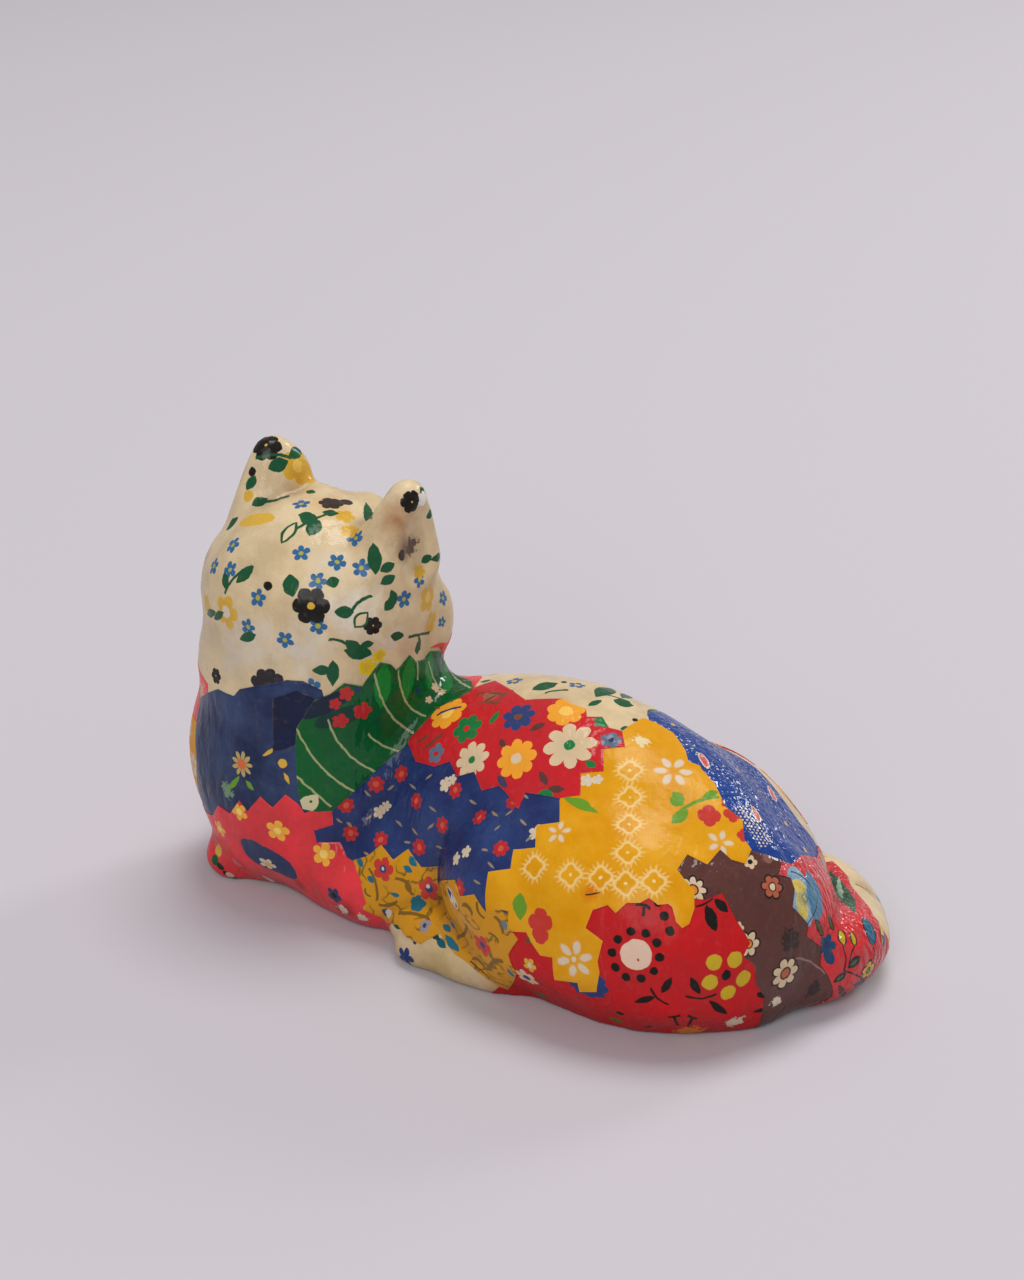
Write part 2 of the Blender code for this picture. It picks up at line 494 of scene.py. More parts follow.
ROYAL = (14, 56, 134)
ROSE = (210, 86, 90)
BROWN = (92, 54, 48)
RUST = (176, 92, 66)
DISC = (222, 192, 170)
OLIVE = (196, 166, 40)
OCHRE = (204, 144, 20)
TEAL = (36, 104, 122)
SMUDGE = (126, 90, 26)
CRIMSON = (196, 30, 34)
RASPBERRY = (204, 48, 52)
# Painted shade at the bottom of the ear's hollow
EAR_PIT_SHADE = (58, 46, 42)
INK = (44, 30, 34)
CHARCOAL = (60, 52, 52)
CREAM_YELLOW = (226, 190, 90)
ACID_YELLOW = (220, 194, 24)
DUSK_BLUE = (96, 112, 136)
DEEP_BLUE = (30, 60, 120)
LINE_BROWN = (40, 28, 24)
CORE_BROWN = (60, 36, 30)
BRIGHTEST = 0.9


def paint(colour):
    """A colour out of 255 as the shader's linear colour."""
    linear = [((c / 255 + 0.055) / 1.055) ** 2.4 if c > 10 else c / 255 / 12.92 for c in colour]
    return (*(min(c, BRIGHTEST) for c in linear), 1.0)


# Motifs. A spot is a pixel of the photograph or, where the camera doesn't see it, a place
# in millimetres. Sizes are in pixels of the photograph at the cat's distance.

PIXEL = 0.2
LEAF_RIM = 3.2
OVAL_RIM = 1.6
FAR_RIM = 0.5
OUTLINE_WIDTH = 2.2
SPRIG_FULLNESS = 1.08


def motif(kind, spots, colour, inner=None, turn=0, **values):
    """A motif to be drawn; its values are in millimetres and shares."""
    values["Colour"] = paint(colour)
    if inner is not None:
        values["Inner"] = paint(inner)
    return {"kind": kind, "spots": spots, "turn": turn, "values": values}


def many(make, rows, *shared, **named):
    """One motif for each row of numbers."""
    return [make(*row, *shared, **named) for row in rows]


def blossom(x, y, radius, petal, core, petals=5, notch=0.4, core_share=0.36, turn=0):
    return motif("blossom", [(x, y)], petal, core, turn, Radius=radius * PIXEL, Petals=petals,
                 Notch=notch, Core=core_share)


def plain(x, y, radius, colour, petals=5, notch=0.4):
    """A flower of one colour."""
    return blossom(x, y, radius, colour, colour, petals, notch)


def dot(x, y, radius, colour):
    return plain(x, y, radius, colour, notch=0.0)


def leaf(x0, y0, x1, y1, width, colour=LEAF, inner=None):
    return motif("leaf", [(x0, y0), (x1, y1)], colour, inner or colour, Width=width * PIXEL,
                 Power=1.0, Rim=LEAF_RIM * PIXEL)


def oval(x0, y0, x1, y1, width, colour, inner=None):
    return motif("leaf", [(x0, y0), (x1, y1)], colour, inner or colour, Width=width * PIXEL,
                 Power=0.5, Rim=OVAL_RIM * PIXEL)


def sprig(x0, y0, x1, y1, width, inner=None):
    """A leaf of the cream calico."""
    return leaf(x0, y0, x1, y1, width * SPRIG_FULLNESS, LEAF, inner)


def stem(x0, y0, x1, y1, bend=0, colour=LEAF, width=1.7):
    return motif("stem", [(x0, y0), (x1, y1)], colour, Width=width * PIXEL, Bend=bend * PIXEL)


def arc(spots, colour, width):
    """A line between two spots, bowed through a third one if it is given."""
    return motif("stem", spots, colour, Width=width * PIXEL, Bend=0.0)


def ring(x, y, radius, width, colour, spikes=18):
    return motif("ring", [(x, y)], colour, Radius=radius * PIXEL, Width=width * PIXEL,
                 Spikes=spikes)


def spray(x, y, radius, colour, petals=6, turn=0):
    return motif("spray", [(x, y)], colour, turn=turn, Radius=radius * PIXEL, Petals=petals)


def worn(x, y, radius, colour=WHITE):
    return motif("worn", [(x, y)], colour, Radius=radius * PIXEL)


def stain(x, y, radius, colour):
    return motif("stain", [(x, y)], colour, Radius=radius * PIXEL)


def veil_and_sheen(x, y, radius, colour):
    return motif("veil_and_sheen", [(x, y)], colour, Radius=radius * PIXEL)


def speckle(x0, y0, x1, y1, width, colour, pitch, size):
    """Small dots in staggered rows, within an oval."""
    return motif("speckle", [(x0, y0), (x1, y1)], colour, Width=width * PIXEL,
                 Pitch=pitch * PIXEL, Size=size * PIXEL)


def outlined(x, y, radius, petal, core, petals=5):
    """A flower with a dark line round its petals and its core."""
    return [blossom(x, y, radius + OUTLINE_WIDTH, LINE_BROWN, petal, petals, 0.35, 0.05),
            blossom(x, y, radius, petal, CORE_BROWN, petals, 0.5, 0.42),
            dot(x, y, radius * 0.3, core)]


def beads(x, y, radius, count, size, colour, turn=0):
    """Dots in a circle."""
    angles = [turn + i * 2 * math.pi / count for i in range(count)]
    return [dot(x + radius * math.cos(a), y + radius * math.sin(a), size, colour)
            for a in angles]


def far_oval(a, b, width, colour, inner=None):
    """An oval between two places in millimetres."""
    return motif("leaf", [a, b], colour, inner or colour, Width=width, Power=0.5, Rim=FAR_RIM)


def far_leaf(a, b, width, colour, rim=FAR_RIM):
    return motif("leaf", [a, b], colour, colour, Width=width, Power=1.0, Rim=rim)


def far_stem(a, b, bend, colour, width=0.3):
    return motif("stem", [a, b], colour, Width=width, Bend=bend)


# Shader graphs

EDGE_SOFTNESS = 0.14
PRINT_WOBBLE = 0.00028
DEPTH_LIMIT = 2.5
SHORTEST = 0.2


class Graph:
    """A node tree whose nodes are added and linked in one call."""

    def __init__(self, tree):
        self.tree = tree

    def feed(self, node, inputs):
        for key, value in dict(inputs).items():
            if isinstance(value, bpy.types.NodeSocket):
                self.tree.links.new(value, node.inputs[key])
            else:
                node.inputs[key].default_value = value

    def add(self, kind, inputs=(), **settings):
        node = self.tree.nodes.new(kind)
        for name, value in settings.items():
            setattr(node, name, value)
        self.feed(node, inputs)
        return node

    def math(self, operation, *values, clamp=False):
        node = self.add("ShaderNodeMath", enumerate(values), operation=operation)
        node.use_clamp = clamp
        return node.outputs[0]

    def times(self, a, b):
        return self.math("MULTIPLY", a, b)

    def minus(self, a, b):
        return self.math("SUBTRACT", a, b)

    def times_plus(self, a, b, c, clamp=False):
        return self.math("MULTIPLY_ADD", a, b, c, clamp=clamp)

    def mix(self, factor, under, over, blend="MIX"):
        node = self.tree.nodes.new("ShaderNodeMix")
        node.data_type = "RGBA"
        node.blend_type = blend
        self.feed(node, {0: factor, 6: under, 7: over})
        return node.outputs[2]

    def noise_node(self, point, size, detail, roughness):
        return self.add("ShaderNodeTexNoise", {"Vector": point, "Scale": 1 / size,
                        "Detail": detail, "Roughness": roughness})

    def noise(self, point, size, detail=2.0, roughness=0.5):
        """Noise whose features are about size metres across."""
        return self.noise_node(point, size, detail, roughness).outputs[0]

    def axes(self, vector):
        return self.add("ShaderNodeSeparateXYZ", {0: vector}).outputs

    def attribute(self, name):
        return self.add("ShaderNodeAttribute", attribute_name=name).outputs["Fac"]

    def hypotenuse(self, u, v):
        return self.math("SQRT", self.times_plus(u, u, self.times(v, v)))

    def inside(self, gap, softness=EDGE_SOFTNESS):
        """1 where the gap in millimetres is positive, with a soft edge."""
        return self.times_plus(gap, 1 / softness, 0.5, clamp=True)

    def over(self, value, low, high):
        """0 below low, 1 above high."""
        node = self.add("ShaderNodeMapRange", {"Value": value, "From Min": low, "From Max": high})
        return node.outputs[0]


def group_shell(name, inputs):
    """An empty group with a printed-over colour, a point, a placing and its own values."""
    tree = bpy.data.node_groups.new(name, "ShaderNodeTree")
    face = tree.interface
    face.new_socket("Colour", in_out="OUTPUT", socket_type="NodeSocketColor")
    kinds = {"Under": "Color", "Point": "Vector", "Place": "Vector", "Turn": "Vector",
             "Colour": "Color"} | {key: "Float" for key in inputs}
    if "Core" in inputs or "Rim" in inputs:
        kinds["Inner"] = "Color"
    for key, kind in kinds.items():
        face.new_socket(key, in_out="INPUT", socket_type=f"NodeSocket{kind}")
    graph = Graph(tree)
    given = graph.add("NodeGroupInput").outputs
    turned = graph.add("ShaderNodeMapping", {"Vector": given["Point"], "Location": given["Place"],
                       "Rotation": given["Turn"], "Scale": (MM, MM, MM)}, vector_type="TEXTURE")
    local = turned.outputs[0]
    return graph, given, local, graph.axes(local)


def close_group(graph, given, mask, colour):
    out = graph.add("NodeGroupOutput")
    graph.tree.links.new(graph.mix(mask, given["Under"], colour), out.inputs[0])
    return graph.tree


def radius_of(graph, local):
    return graph.add("ShaderNodeVectorMath", {0: local}, operation="LENGTH").outputs["Value"]


def polar(graph, local, axes):
    """The distance from a motif's centre and the angle about it."""
    return radius_of(graph, local), graph.math("ARCTAN2", axes[1], axes[0])


def bulge_of(graph, given, axes):
    """1 half way between a motif's two ends and 0 at each end."""
    along = graph.math("DIVIDE", axes[0], given["Length"])
    return graph.times_plus(graph.times(along, -1.0), along, 1.0)


def cloudy_shell(name, size, roughness):
    """A round group's graph and inputs, with the share of its radius and some noise."""
    graph, given, local, _ = group_shell(name, ["Radius"])
    share = graph.math("DIVIDE", radius_of(graph, local), given["Radius"])
    return graph, given, share, graph.noise(given["Point"], size, 3.0, roughness)


def blossom_group():
    """Round petals about a core."""
    graph, given, local, axes = group_shell("blossom", ["Radius", "Petals", "Notch", "Core"])
    radius, angle = polar(graph, local, axes)
    half = graph.times(given["Petals"], 0.5)
    wave = graph.math("ABSOLUTE", graph.math("COSINE", graph.times(angle, half)))
    lobe = graph.math("POWER", wave, 0.6)
    dip = graph.times(given["Notch"], graph.minus(1.0, lobe))
    share = graph.minus(1.0, dip)
    edge = graph.times(given["Radius"], share)
    mask = graph.inside(graph.minus(edge, radius))
    centre = graph.times(given["Radius"], given["Core"])
    core = graph.inside(graph.minus(centre, radius))
    ratio = graph.math("DIVIDE", radius, given["Radius"])
    depth = graph.times_plus(ratio, -0.5, 0.5, clamp=True)
    depth = graph.times(depth, given["Notch"])
    petal = graph.mix(depth, given["Colour"], (0.4, 0.3, 0.3, 1), "MULTIPLY")
    return close_group(graph, given, mask, graph.mix(core, petal, given["Inner"]))


def spray_group():
    """Separate oval petals about a bare centre."""
    graph, given, local, axes = group_shell("spray", ["Radius", "Petals"])
    radius, angle = polar(graph, local, axes)
    half = graph.math("DIVIDE", math.pi, given["Petals"])
    folded = graph.math("WRAP", angle, half, graph.times(half, -1.0))
    ratio = graph.math("DIVIDE", radius, given["Radius"])
    out = graph.times(ratio, graph.math("COSINE", folded))
    side = graph.times(ratio, graph.math("SINE", folded))
    u = graph.times_plus(out, 2.9, -1.9)
    v = graph.times(side, 5.0)
    spread = graph.hypotenuse(u, v)
    gap = graph.times(graph.minus(1.0, spread), graph.times(given["Radius"], 0.2))
    mask = graph.times(graph.inside(gap, 0.3), 0.9)
    return close_group(graph, given, mask, given["Colour"])


def near_plane(graph, gap, depth):
    """Stops a motif from showing on the far side of a thin place."""
    beyond = graph.minus(graph.math("ABSOLUTE", depth), DEPTH_LIMIT)
    return graph.minus(gap, graph.math("MAXIMUM", beyond, 0.0))


def leaf_group():
    """A pointed leaf or an oval between two ends."""
    graph, given, local, axes = group_shell("leaf", ["Length", "Width", "Power", "Rim"])
    bulge = bulge_of(graph, given, axes)
    profile = graph.math("POWER", graph.math("MAXIMUM", bulge, 0.0), given["Power"])
    width = graph.times(given["Width"], profile)
    gap = graph.minus(width, graph.math("ABSOLUTE", axes[1]))
    ends = graph.times(bulge, 4.0)
    gap = near_plane(graph, graph.math("MINIMUM", gap, ends), axes[2])
    inner = graph.inside(graph.minus(gap, given["Rim"]))
    return close_group(graph, given, graph.inside(gap),
                       graph.mix(inner, given["Colour"], given["Inner"]))


def stem_group():
    """A line that bows sideways between two ends."""
    graph, given, local, axes = group_shell("stem", ["Length", "Width", "Bend"])
    bulge = bulge_of(graph, given, axes)
    course = graph.times(given["Bend"], bulge)
    side = graph.math("ABSOLUTE", graph.minus(axes[1], course))
    gap = graph.minus(given["Width"], side)
    ends = graph.times_plus(bulge, 8.0, 0.5)
    gap = near_plane(graph, graph.math("MINIMUM", gap, ends), axes[2])
    return close_group(graph, given, graph.inside(gap), given["Colour"])


def ring_group():
    """A four-lobed ring with a fringe of fine spikes."""
    graph, given, local, axes = group_shell("ring", ["Radius", "Width", "Spikes"])
    radius, angle = polar(graph, local, axes)
    wave = graph.math("COSINE", graph.times(angle, 4.0))
    edge = graph.times(given["Radius"], graph.times_plus(wave, 0.14, 1.0))
    off = graph.minus(radius, edge)
    line = graph.inside(graph.minus(given["Width"], graph.math("ABSOLUTE", off)), 0.4)
    teeth = graph.math("COSINE", graph.times(angle, given["Spikes"]))
    reach = graph.times_plus(teeth, 0.7, 0.5)
    beyond = graph.inside(graph.minus(reach, off), 0.6)
    outside = graph.inside(off, 0.2)
    fringe = graph.times(graph.times(beyond, outside), 0.6)
    mask = graph.times(graph.math("MAXIMUM", line, fringe), 0.85)
    return close_group(graph, given, mask, given["Colour"])


def veil_and_sheen_group():
    """A soft, pale cloud over the print, for pale smudges and for a painted sheen."""
    graph, given, share, cloud = cloudy_shell("veil_and_sheen", 0.0028, 0.6)
    strength = graph.over(graph.times_plus(cloud, 1.8, share), 1.8, 1.0)
    return close_group(graph, given, graph.times(strength, 0.75), given["Colour"])


def tint_and_shade_group():
    """A soft tint that darkens what is under it; it serves for tints of the cloth and for painted
    shade in the ear and near the floor.
    """
    graph, given, share, cloud = cloudy_shell("stain", 0.004, 0.6)
    strength = graph.over(graph.math("ADD", share, cloud), 1.35, 0.45)
    tinted = graph.mix(1.0, given["Under"], given["Colour"], "MULTIPLY")
    return close_group(graph, given, strength, tinted)


def worn_group():
    """A ragged place where the print is rubbed away."""
    graph, given, share, speck = cloudy_shell("worn", 0.0011, 0.7)
    strength = graph.minus(graph.times_plus(speck, 1.9, -0.3), share)
    return close_group(graph, given, graph.over(strength, -0.08, 0.08), given["Colour"])


def speckle_group():
    """Staggered rows of small dots between two ends."""
    graph, given, local, axes = group_shell("speckle", ["Length", "Width", "Pitch", "Size"])
    bulge = bulge_of(graph, given, axes)
    across = graph.math("DIVIDE", axes[1], given["Pitch"])
    row = graph.math("FLOOR", graph.math("ADD", across, 0.5))
    shift = graph.times_plus(row, 0.5, graph.math("DIVIDE", axes[0], given["Pitch"]))
    u = graph.minus(graph.math("FRACT", shift), 0.5)
    v = graph.minus(across, row)
    spread = graph.hypotenuse(u, v)
    gap = graph.minus(given["Size"], graph.times(spread, given["Pitch"]))
    side = graph.minus(given["Width"], graph.math("ABSOLUTE", axes[1]))
    limit = graph.math("MINIMUM", graph.times(bulge, 4.0), side)
    gap = near_plane(graph, graph.math("MINIMUM", gap, limit), axes[2])
    return close_group(graph, given, graph.inside(gap), given["Colour"])


GROUPS = {
    "blossom": blossom_group(), "spray": spray_group(), "leaf": leaf_group(),
    "stem": stem_group(), "ring": ring_group(), "veil_and_sheen": veil_and_sheen_group(), "stain": tint_and_shade_group(),
    "worn": worn_group(), "speckle": speckle_group(),
}


def tangent(normal, direction, turn=0.0):
    """The direction laid on the surface and turned in it by some degrees."""
    along = direction - normal * direction.dot(normal)
    if along.length < TINY:
        along = normal.orthogonal()
    along.normalize()
    return Matrix.Rotation(math.radians(turn), 3, normal) @ along


def placed(skin, drawn):
    """A motif's centre, Euler turn and own values on the skin."""
    spots = [skin.locate(spot) for spot in drawn["spots"]]
    values = dict(drawn["values"])
    if len(spots) == 1:
        place, normal = spots[0]
        along = tangent(normal, RIGHT, drawn["turn"])
    else:
        (start, _), (end, _) = spots[:2]
        place, normal = skin.near(*((start + end) / 2 / MM))
        along = tangent(normal, end - start)
        values["Length"] = max((end - start).length / 2 / MM, SHORTEST)
    across = normal.cross(along)
    if len(spots) == 3:
        aside = (spots[2][0] - (start + end) / 2) / MM
        share = aside.dot(along) / values["Length"]
        values["Bend"] = aside.dot(across) / (1 - share ** 2)
    turn = Matrix((along, across, normal)).transposed().to_euler("XYZ")
    return place, turn, values


def print_motifs(graph, colour, point, placings):
    """Lays each motif over the colour so far."""
    for kind, place, turn, values in placings:
        inputs = values | {"Place": place, "Turn": turn, "Under": colour, "Point": point}
        node = graph.add("ShaderNodeGroup", node_tree=GROUPS[kind])
        graph.feed(node, inputs)
        colour = node.outputs[0]
    return colour


# Cloth. The weave's pitch is in millimetres, noise sizes and depths are in metres.

WEAVE_PITCH = 0.42
CHART_THREAD_SHADE = 0.045
SKIN_THREAD_SHADE = 0.015
VARNISH_YELLOW = (0.98, 0.9, 0.74, 1)
# Colours of the painted shade in creases and near the floor
CREASE_SHADE = (0.35, 0.25, 0.18, 1)
FLOOR_SHADE = (0.5, 0.4, 0.36, 1)
FADED = (206, 190, 168)
BARE_THREAD = (224, 206, 176)
JITTER_SIZE = 0.0016
CLOUD_SIZE = 0.009
FLECK_SIZE = 0.0016
YELLOWING_SIZE = 0.021
SCRIBBLE_SIZE = 0.0032
SCRIBBLE_PATCH = 0.005
SCRIBBLE_LEVEL = 0.47
SCRIBBLE_WIDTH = 0.026
SWELL_SIZE = 0.0042
FOLD_SIZE = 0.0026
RIPPLE_SIZE = 0.0018
HEM_RELIEF = 0.16
COAT_DEPTH = 0.0011
THREAD_RELIEF = 0.14
THREAD_DEPTH = 0.0001
SATIN = {"Roughness": 0.62, "Specular IOR Level": 0.05, "Coat IOR": 1.4}


def weave_height(graph, point, on_chart):
    """Crossed threads, from the cloth's own flat coordinates where it has them."""
    turn = 2 * math.pi / WEAVE_PITCH
    if on_chart:
        axes = graph.axes(graph.add("ShaderNodeUVMap", uv_map="cloth").outputs[0])
        steps = [graph.times(axes[i], turn) for i in range(2)]
    else:
        axes = graph.axes(point)
        steps = [graph.times(axes[i], turn / MM) for i in range(3)]
    waves = [graph.math("SINE", step) for step in steps]
    total = waves[0]
    for wave in waves[1:]:
        total = graph.math("ADD", total, wave)
    return graph.times(total, 0.5)


def wobbled(graph, point):
    """The point moved a little, so that prints have uneven edges."""
    jitter = graph.noise_node(point, JITTER_SIZE, 1.0, 0.5).outputs[1]
    centred = graph.add("ShaderNodeVectorMath", {0: jitter, 1: (0.5, 0.5, 0.5)},
                        operation="SUBTRACT").outputs[0]
    return graph.add("ShaderNodeVectorMath", {0: centred, 1: (2 * PRINT_WOBBLE,) * 3, 2: point},
                     operation="MULTIPLY_ADD").outputs[0]


def dyed(graph, ground, point, pushed, cloud):
    """The cloth's two ground colours in clouds, with its scribbled pattern if it has one."""
    blotch = graph.times(graph.over(cloud, 0.38, 0.66), ground.get("blotch", 0.5))
    colour = graph.mix(blotch, paint(ground["colour"]), paint(ground["second"]))
    if "scribble" in ground:
        squiggle = graph.noise(point, SCRIBBLE_SIZE, 1.0, 0.4)
        off = graph.math("ABSOLUTE", graph.minus(squiggle, SCRIBBLE_LEVEL))
        line = graph.inside(graph.minus(SCRIBBLE_WIDTH, off), 0.05)
        here = graph.over(graph.noise(pushed, SCRIBBLE_PATCH, 1.0), 0.44, 0.54)
        colour = graph.mix(graph.times(line, here), colour, paint(ground["scribble"]))
    return colour


def aged_and_shaded(graph, ground, point, fleck, colour):
    """Fading, yellowed varnish, and painted shade in the creases and near the floor."""
    faded = graph.times(graph.over(fleck, 0.56, 0.85), ground.get("fade", 0.05))
    colour = graph.mix(faded, colour, paint(FADED))
    patches = graph.noise(point, YELLOWING_SIZE, 3.0, 0.55)
    yellowing = graph.times(graph.over(patches, 0.35, 0.7), ground.get("stain", 0.25))
    colour = graph.mix(yellowing, colour, VARNISH_YELLOW, "MULTIPLY")
    # painted shade: darker where the skin lies in a hollow
    crease_shade = graph.times(graph.over(graph.attribute("hollow"), 0.04, 0.5), 0.55)
    colour = graph.mix(crease_shade, colour, CREASE_SHADE, "MULTIPLY")
    # painted shade: darker within a few millimetres of the floor
    height = graph.times_plus(fleck, 0.004, graph.axes(point)[2])
    low = graph.times(graph.over(height, 0.010, 0.001), 0.6)
    return graph.mix(low, colour, FLOOR_SHADE, "MULTIPLY")


def frayed(graph, hem, fleck, colour):
    """Pale thread ends along the cut edge."""
    cut = graph.minus(1.0, graph.over(hem, 0.02, 0.2))
    loose = graph.times(cut, graph.over(fleck, 0.4, 0.7))
    return graph.mix(graph.times(loose, 0.14), colour, paint(BARE_THREAD))


def varnish_relief(graph, ground, point, weave, hem):
    """The normals of the brushed coat and of the threads under it."""
    stretched = graph.add("ShaderNodeMapping", {"Vector": point, "Rotation": (0.5, 0.4, 0.7),
                          "Scale": (1, 1, 0.4)}).outputs[0]
    swell = graph.noise(stretched, SWELL_SIZE)
    fold = graph.noise(stretched, FOLD_SIZE)
    ridge = graph.math("ABSOLUTE", graph.times_plus(fold, 2.0, -1.0))
    ripple = graph.times_plus(graph.noise(point, RIPPLE_SIZE, 1.0), 0.1, swell)
    lumps = graph.times_plus(ridge, -ground.get("crumple", 0.25), ripple)
    if hem is not None:
        lumps = graph.times_plus(graph.over(hem, 0.0, 0.5), HEM_RELIEF, lumps)
    coat = graph.add("ShaderNodeBump", {"Strength": ground.get("wrinkle", 0.5),
                     "Distance": COAT_DEPTH, "Height": lumps}).outputs[0]
    fine = graph.add("ShaderNodeBump", {"Strength": THREAD_RELIEF, "Distance": THREAD_DEPTH,
                     "Height": weave, "Normal": coat}).outputs[0]
    return coat, fine


def cloth_material(name, ground, placings, on_chart=True):
    """Printed cotton, glued down and varnished."""
    material = bpy.data.materials.new(name)
    material.use_nodes = True
    shader = next(n for n in material.node_tree.nodes if n.type == "BSDF_PRINCIPLED")
    graph = Graph(material.node_tree)
    point = graph.add("ShaderNodeTexCoord").outputs["Object"]
    pushed = wobbled(graph, point)
    cloud = graph.noise(point, CLOUD_SIZE, 4.0, 0.6)
    fleck = graph.noise(point, FLECK_SIZE, 3.0, 0.6)
    colour = dyed(graph, ground, point, pushed, cloud)
    colour = print_motifs(graph, colour, pushed, placings)
    colour = aged_and_shaded(graph, ground, point, fleck, colour)
    weave = weave_height(graph, point, on_chart)
    depth = CHART_THREAD_SHADE if on_chart else SKIN_THREAD_SHADE
    thread = graph.times_plus(weave, depth, 0.97)
    shade = graph.add("ShaderNodeCombineColor", {0: thread, 1: thread, 2: thread}).outputs[0]
    colour = graph.mix(1.0, colour, shade, "MULTIPLY")
    hem = graph.attribute("hem") if on_chart else None
    if hem is not None:
        colour = frayed(graph, hem, fleck, colour)
    coat, fine = varnish_relief(graph, ground, point, weave, hem)
    patchy = graph.times_plus(graph.over(cloud, 0.3, 0.7), 0.35, ground.get("coat", 0.4))
    graph.feed(shader, SATIN | {"Base Color": colour, "Normal": fine, "Coat Normal": coat,
               "Coat Weight": patchy, "Coat Roughness": ground.get("sheen", 0.16)})
    return material


# The scraps in the photograph

def ground(colour, second, flowers=(), **more):
    """A cloth: its two colours, the flowers strewn on it out of sight, and its finish."""
    return {"colour": colour, "second": second, "flowers": flowers, **more}


CREAM_CLOTH = ground(CREAM, (182, 160, 124), blotch=0.6, fade=0.1, coat=0.3, wrinkle=0.35)
NAVY_CLOTH = ground((50, 68, 106), (20, 34, 72), ((PETAL, ORANGE), (APPLE, LEMON)),
                    blotch=1.0, wrinkle=0.7, sheen=0.2)
DARK_CLOTH = ground((20, 32, 68), (12, 20, 48), blotch=1.0)
CORAL_CLOTH = ground(CORAL, (190, 48, 52), ((APRICOT, ORANGE), (WHITE, OVAL_BLUE)),
                     blotch=0.7, wrinkle=0.7)
KELLY_CLOTH = ground(KELLY, (8, 66, 38), ((APPLE, PALE_LINE), (POPPY, LEMON)),
                     coat=0.5, sheen=0.06)
INDIGO_CLOTH = ground(INDIGO, DEEP_INDIGO, ((POPPY, PETAL), (WHITE, PETAL)),
                      blotch=0.9, wrinkle=0.7)
SCARLET_CLOTH = ground(SCARLET, (178, 38, 44), ((PETAL, GREEN_EYE), (ORANGE, PETAL)))
YELLOW_CLOTH = ground(YELLOW, LIGHT_YELLOW, ((WHITE, YELLOW), (TULIP, APPLE)),
                      blotch=0.7, stain=0.2, coat=0.14, sheen=0.24, wrinkle=0.3)
ROYAL_CLOTH = ground(ROYAL, (34, 74, 152), wrinkle=0.8, coat=0.6, sheen=0.1, crumple=0.6)
BROWN_CLOTH = ground(BROWN, (76, 44, 40), wrinkle=0.7, coat=0.55, sheen=0.12, crumple=0.45)
CRIMSON_CLOTH = ground(CRIMSON, (160, 26, 32), ((PETAL, INDIGO), (LEMON, PETAL)),
                       coat=0.08, sheen=0.3)
OCHRE_CLOTH = ground(OCHRE, (196, 134, 20), ((TULIP, INDIGO), (TEAL, WHITE)),
                     scribble=(112, 84, 22))
RASPBERRY_CLOTH = ground(RASPBERRY, (184, 42, 46), wrinkle=1.0, coat=0.65, sheen=0.08,
                         crumple=0.9)

NAVY_OUTLINE = ((201, 697), (218, 689), (234, 696), (240, 689), (251, 687), (287, 680), (303, 681),
    (322, 690), (345, 760), (340, 815), (300, 832), (260, 832), (225, 834), (206, 824), (199, 790),
    (197, 760), (196, 735), (198, 715))
CORAL_OUTLINE = ((205, 808), (214, 815), (219, 805), (231, 813), (240, 800), (248, 811),
    (261, 796), (273, 807), (286, 794), (299, 804), (305, 813), (318, 806), (332, 810), (333, 824),
    (314, 830), (317, 842), (340, 842), (347, 857), (356, 863), (364, 881), (376, 901), (391, 922),
    (-16.5, -30, GROUND), (-25, -33, GROUND), (-38, -34, GROUND), (-52, -36, GROUND),
    (-62, -35, GROUND), (-70, -24, GROUND), (-72, -20, 8), (-72, -24, 14))
COLLAR_OUTLINE = ((297, 727), (296, 743), (297, 776), (299, 795), (303, 808), (317, 811),
    (332, 810), (370, 775), (406, 747), (410, 739), (422, 727), (438, 709), (456, 701), (472, 692),
    (473, 688), (466, 680), (449, 666), (440, 651), (430, 651), (424, 659), (415, 662), (409, 655),
    (402, 664), (396, 670), (390, 664), (380, 662), (372, 672), (362, 686), (344, 683), (330, 694),
    (314, 700), (306, 712))
INDIGO_OUTLINE = ((410, 735), (450, 745), (500, 770), (560, 785), (574, 800), (574, 835),
    (550, 862), (527, 887), (503, 928), (470, 928), (430, 908), (390, 884), (356, 880), (335, 854),
    (305, 845), (318, 804), (345, 785), (380, 758))
DAISY_OUTLINE = ((424, 722), (449, 700), (495, 682), (526, 701), (563, 700), (571, 705),
    (586, 710), (587, 718), (602, 718), (609, 729), (622, 732), (625, 748), (604, 750), (604, 772),
    (581, 774), (581, 796), (560, 799), (526, 793), (519, 810), (507, 793), (500, 786), (483, 791),
    (475, 772), (458, 777), (451, 762), (435, 767), (417, 762), (408, 742))
YELLOW_OUTLINE = ((605, 735), (622, 732), (643, 719), (656, 724), (673, 734), (685, 751),
    (688, 762), (700, 767), (701, 770), (714, 784), (725, 807), (742, 821), (744, 840), (751, 850),
    (745, 864), (731, 860), (720, 850), (707, 865), (687, 855), (677, 870), (685, 881), (694, 891),
    (694, 909), (689, 924), (682, 928), (676, 922), (672, 907), (668, 904), (658, 905), (649, 898),
    (640, 903), (627, 903), (616, 913), (608, 905), (593, 910), (586, 928), (603, 941), (598, 961),
    (600, 972), (597, 991), (580, 991), (578, 982), (555, 979), (553, 957), (541, 955), (532, 942),
    (527, 932), (509, 931), (500, 912), (487, 912), (486, 895), (489, 872), (511, 869), (514, 850),
    (536, 848), (537, 826), (560, 823), (560, 801), (568, 780), (585, 755))
ROYAL_OUTLINE = ((647, 713), (662, 712), (26, 17, 45), (42, 23, 40), (56, 21, 33), (817, 846),
    (820, 862), (800, 872), (785, 866), (752, 856), (728, 830), (700, 785), (672, 745), (650, 728))
